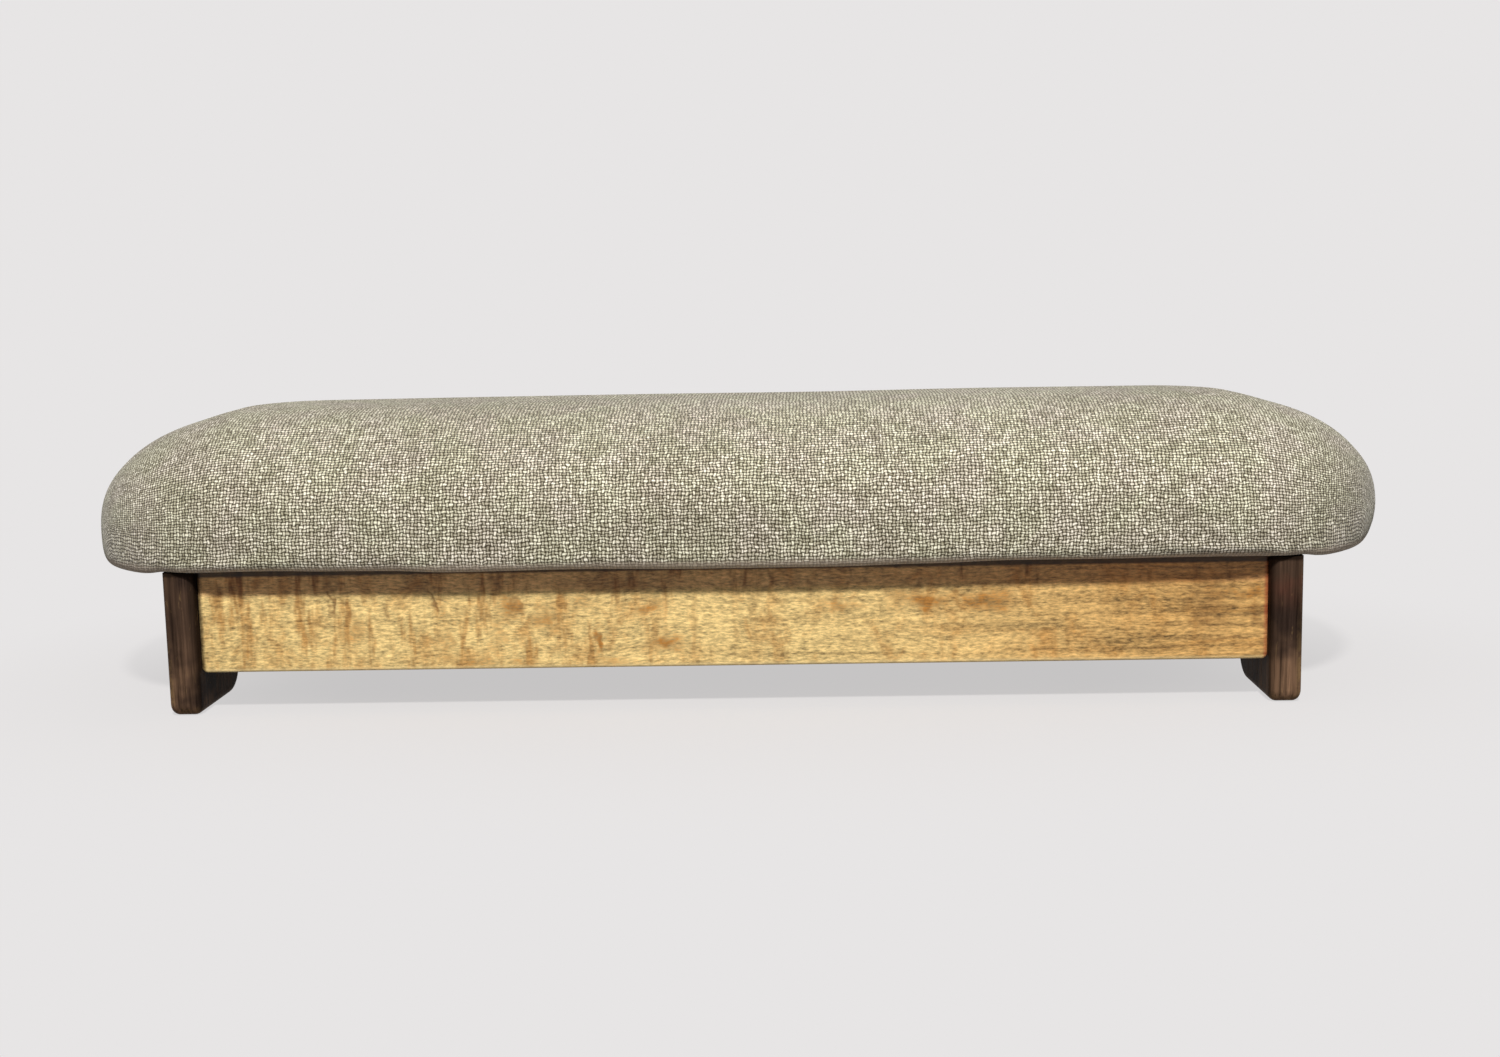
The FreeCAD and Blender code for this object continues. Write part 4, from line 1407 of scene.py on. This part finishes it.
class FOOTSTOOL_OT_stage(bpy.types.Operator):
    """Sets the floor, the light and the camera"""

    bl_idname = "footstool.stage"
    bl_label = "Stage"

    def execute(self, context):
        stage = context.scene.footstool_stage
        context.scene.view_settings.view_transform = "Standard"
        self.lay_floor(stage)
        self.light_world(context, stage)
        self.hang_key(stage)
        self.aim_camera(context, stage)
        return {"FINISHED"}

    @staticmethod
    def seen(tree):
        """1 where the camera, a reflection or glass looks at the backdrop, and 0 for light."""
        path = tree.node("ShaderNodeLightPath", output="Is Camera Ray")
        return path.most(path.output("Is Glossy Ray")).most(path.output("Is Transmission Ray"))

    def lay_floor(self, stage):
        """A wide pale floor that keeps a soft shadow near the stool and fades into the backdrop."""
        mesh = bpy.data.meshes.new("floor")
        corners = [(x * FLOOR_REACH, y * FLOOR_REACH, 0.0) for x, y in ((-1, -1), (1, -1), (1, 1), (-1, 1))]
        mesh.from_pydata(corners, [], [(0, 1, 2, 3)])
        floor = add_object("floor", mesh)
        finish = Finish("pale_floor")
        x, y, _ = finish.split(finish.place())
        along = x / FLOOR_STRETCH
        away = (along * along + y * y) ** 0.5
        seen = self.seen(finish)
        ground = finish.blend(seen, dimmed(stage.backdrop, FLOOR_BOUNCE), dimmed(stage.backdrop, FLOOR_LEVEL))
        lit = finish.node("ShaderNodeBsdfDiffuse", values={"Color": ground})
        plain = finish.node("ShaderNodeEmission", values={"Color": opaque(stage.backdrop), "Strength": 1.0})
        share = seen * (FLOOR_PLAIN + (1 - FLOOR_PLAIN) * away.rise(*FLOOR_FADE))
        mixed = finish.node("ShaderNodeMixShader", values={"Fac": share, "Shader": lit, "Shader_001": plain})
        finish.node("ShaderNodeOutputMaterial", values={"Surface": mixed})
        mesh.materials.append(finish.material)

    def light_world(self, context, stage):
        """Soft light from all round, stronger from behind and from the sides, seen as the pale backdrop."""
        world = bpy.data.worlds.new("studio")
        world.use_nodes = True
        context.scene.world = world
        tree = NodeTree(world.node_tree)
        x, y, z = tree.split(tree.node("ShaderNodeTexCoord", output="Generated"))
        behind = y.rise(0.0, 0.8) * z.rise(0.8, 0.1)
        beside = abs(x).rise(0.5, 0.95) * BESIDE_SHARE
        ambient = dimmed(AMBIENT_TINT, stage.ambient)
        bright = dimmed(BRIGHT_TINT, stage.ambient * stage.behind)
        soft = tree.blend(behind.most(beside), ambient, bright)
        colour = tree.blend(self.seen(tree), soft, stage.backdrop)
        background = tree.node("ShaderNodeBackground", values={"Color": colour, "Strength": 1.0})
        tree.node("ShaderNodeOutputWorld", values={"Surface": background})

    def hang_key(self, stage):
        """The main lamp: high in front and fairly small, so the cushion's shadow shows on the rail."""
        lamp = bpy.data.lights.new("key", "AREA")
        lamp.shape = "DISK"
        lamp.size = KEY_SIZE
        lamp.energy = stage.key
        lamp.color = KEY_TINT
        key = add_object("key", lamp)
        level = math.cos(stage.key_elevation)
        aim = Vector((
            math.sin(stage.key_azimuth) * level,
            -math.cos(stage.key_azimuth) * level,
            math.sin(stage.key_elevation),
        ))
        key.location = Vector(KEY_AIM) + aim * KEY_DISTANCE
        key.rotation_euler = aim.to_track_quat("Z", "Y").to_euler()

    def aim_camera(self, context, stage):
        """The camera, where the photograph was taken from."""
        pitch, roll, yaw = stage.camera_pitch, stage.camera_roll, stage.camera_yaw
        ahead = Vector((math.sin(yaw) * math.cos(pitch), math.cos(yaw) * math.cos(pitch), -math.sin(pitch)))
        level = Vector((math.cos(yaw), -math.sin(yaw), 0.0))
        up = level.cross(ahead)
        right = math.cos(roll) * level - math.sin(roll) * up
        above = math.sin(roll) * level + math.cos(roll) * up
        lens = bpy.data.cameras.new("camera")
        lens.sensor_fit = "HORIZONTAL"
        lens.sensor_width = SENSOR_WIDTH
        lens.lens = stage.lens
        lens.clip_start = CLIP_START
        lens.clip_end = CLIP_END
        camera = add_object("camera", lens)
        turn = Matrix((right, above, -ahead)).transposed().to_4x4()
        camera.matrix_world = Matrix.Translation(Vector(stage.camera_place)) @ turn
        context.scene.camera = camera


class FOOTSTOOL_PT_sidebar(bpy.types.Panel):
    """Lists the footstool's pieces and values"""

    bl_idname = "FOOTSTOOL_PT_sidebar"
    bl_label = "Footstool"
    bl_space_type = "VIEW_3D"
    bl_region_type = "UI"
    bl_category = "Footstool"

    def draw(self, context):
        for operator in OPERATORS:
            self.layout.operator(operator.bl_idname)
        for key in GROUPS:
            group = getattr(context.scene, key)
            box = self.layout.box()
            for name in group.__annotations__:
                box.prop(group, name)


OPERATORS = (
    FOOTSTOOL_OT_stage,
    FOOTSTOOL_OT_cushion,
    FOOTSTOOL_OT_dust_cloth,
    FOOTSTOOL_OT_frame_boards,
    FOOTSTOOL_OT_inner_wood,
    FOOTSTOOL_OT_staples,
    FOOTSTOOL_OT_screws,
)
GROUPS = {
    "footstool_cushion": FootstoolCushion,
    "footstool_wood": FootstoolWood,
    "footstool_metal": FootstoolMetal,
    "footstool_stage": FootstoolStage,
}


def register():
    """Adds the classes and the scene's values."""
    for item in (*GROUPS.values(), *OPERATORS, FOOTSTOOL_PT_sidebar):
        bpy.utils.register_class(item)
    for key, group in GROUPS.items():
        setattr(bpy.types.Scene, key, PointerProperty(type=group))


def unregister():
    """Takes them away again."""
    for key in GROUPS:
        delattr(bpy.types.Scene, key)
    for item in (FOOTSTOOL_PT_sidebar, *reversed(OPERATORS), *reversed(tuple(GROUPS.values()))):
        bpy.utils.unregister_class(item)


def main():
    """Makes the stage and every piece."""
    register()
    bpy.ops.footstool.stage()
    bpy.ops.footstool.cushion()
    bpy.ops.footstool.dust_cloth()
    bpy.ops.footstool.frame_boards()
    bpy.ops.footstool.inner_wood()
    bpy.ops.footstool.staples()
    bpy.ops.footstool.screws()


if __name__ == "__main__":
    main()
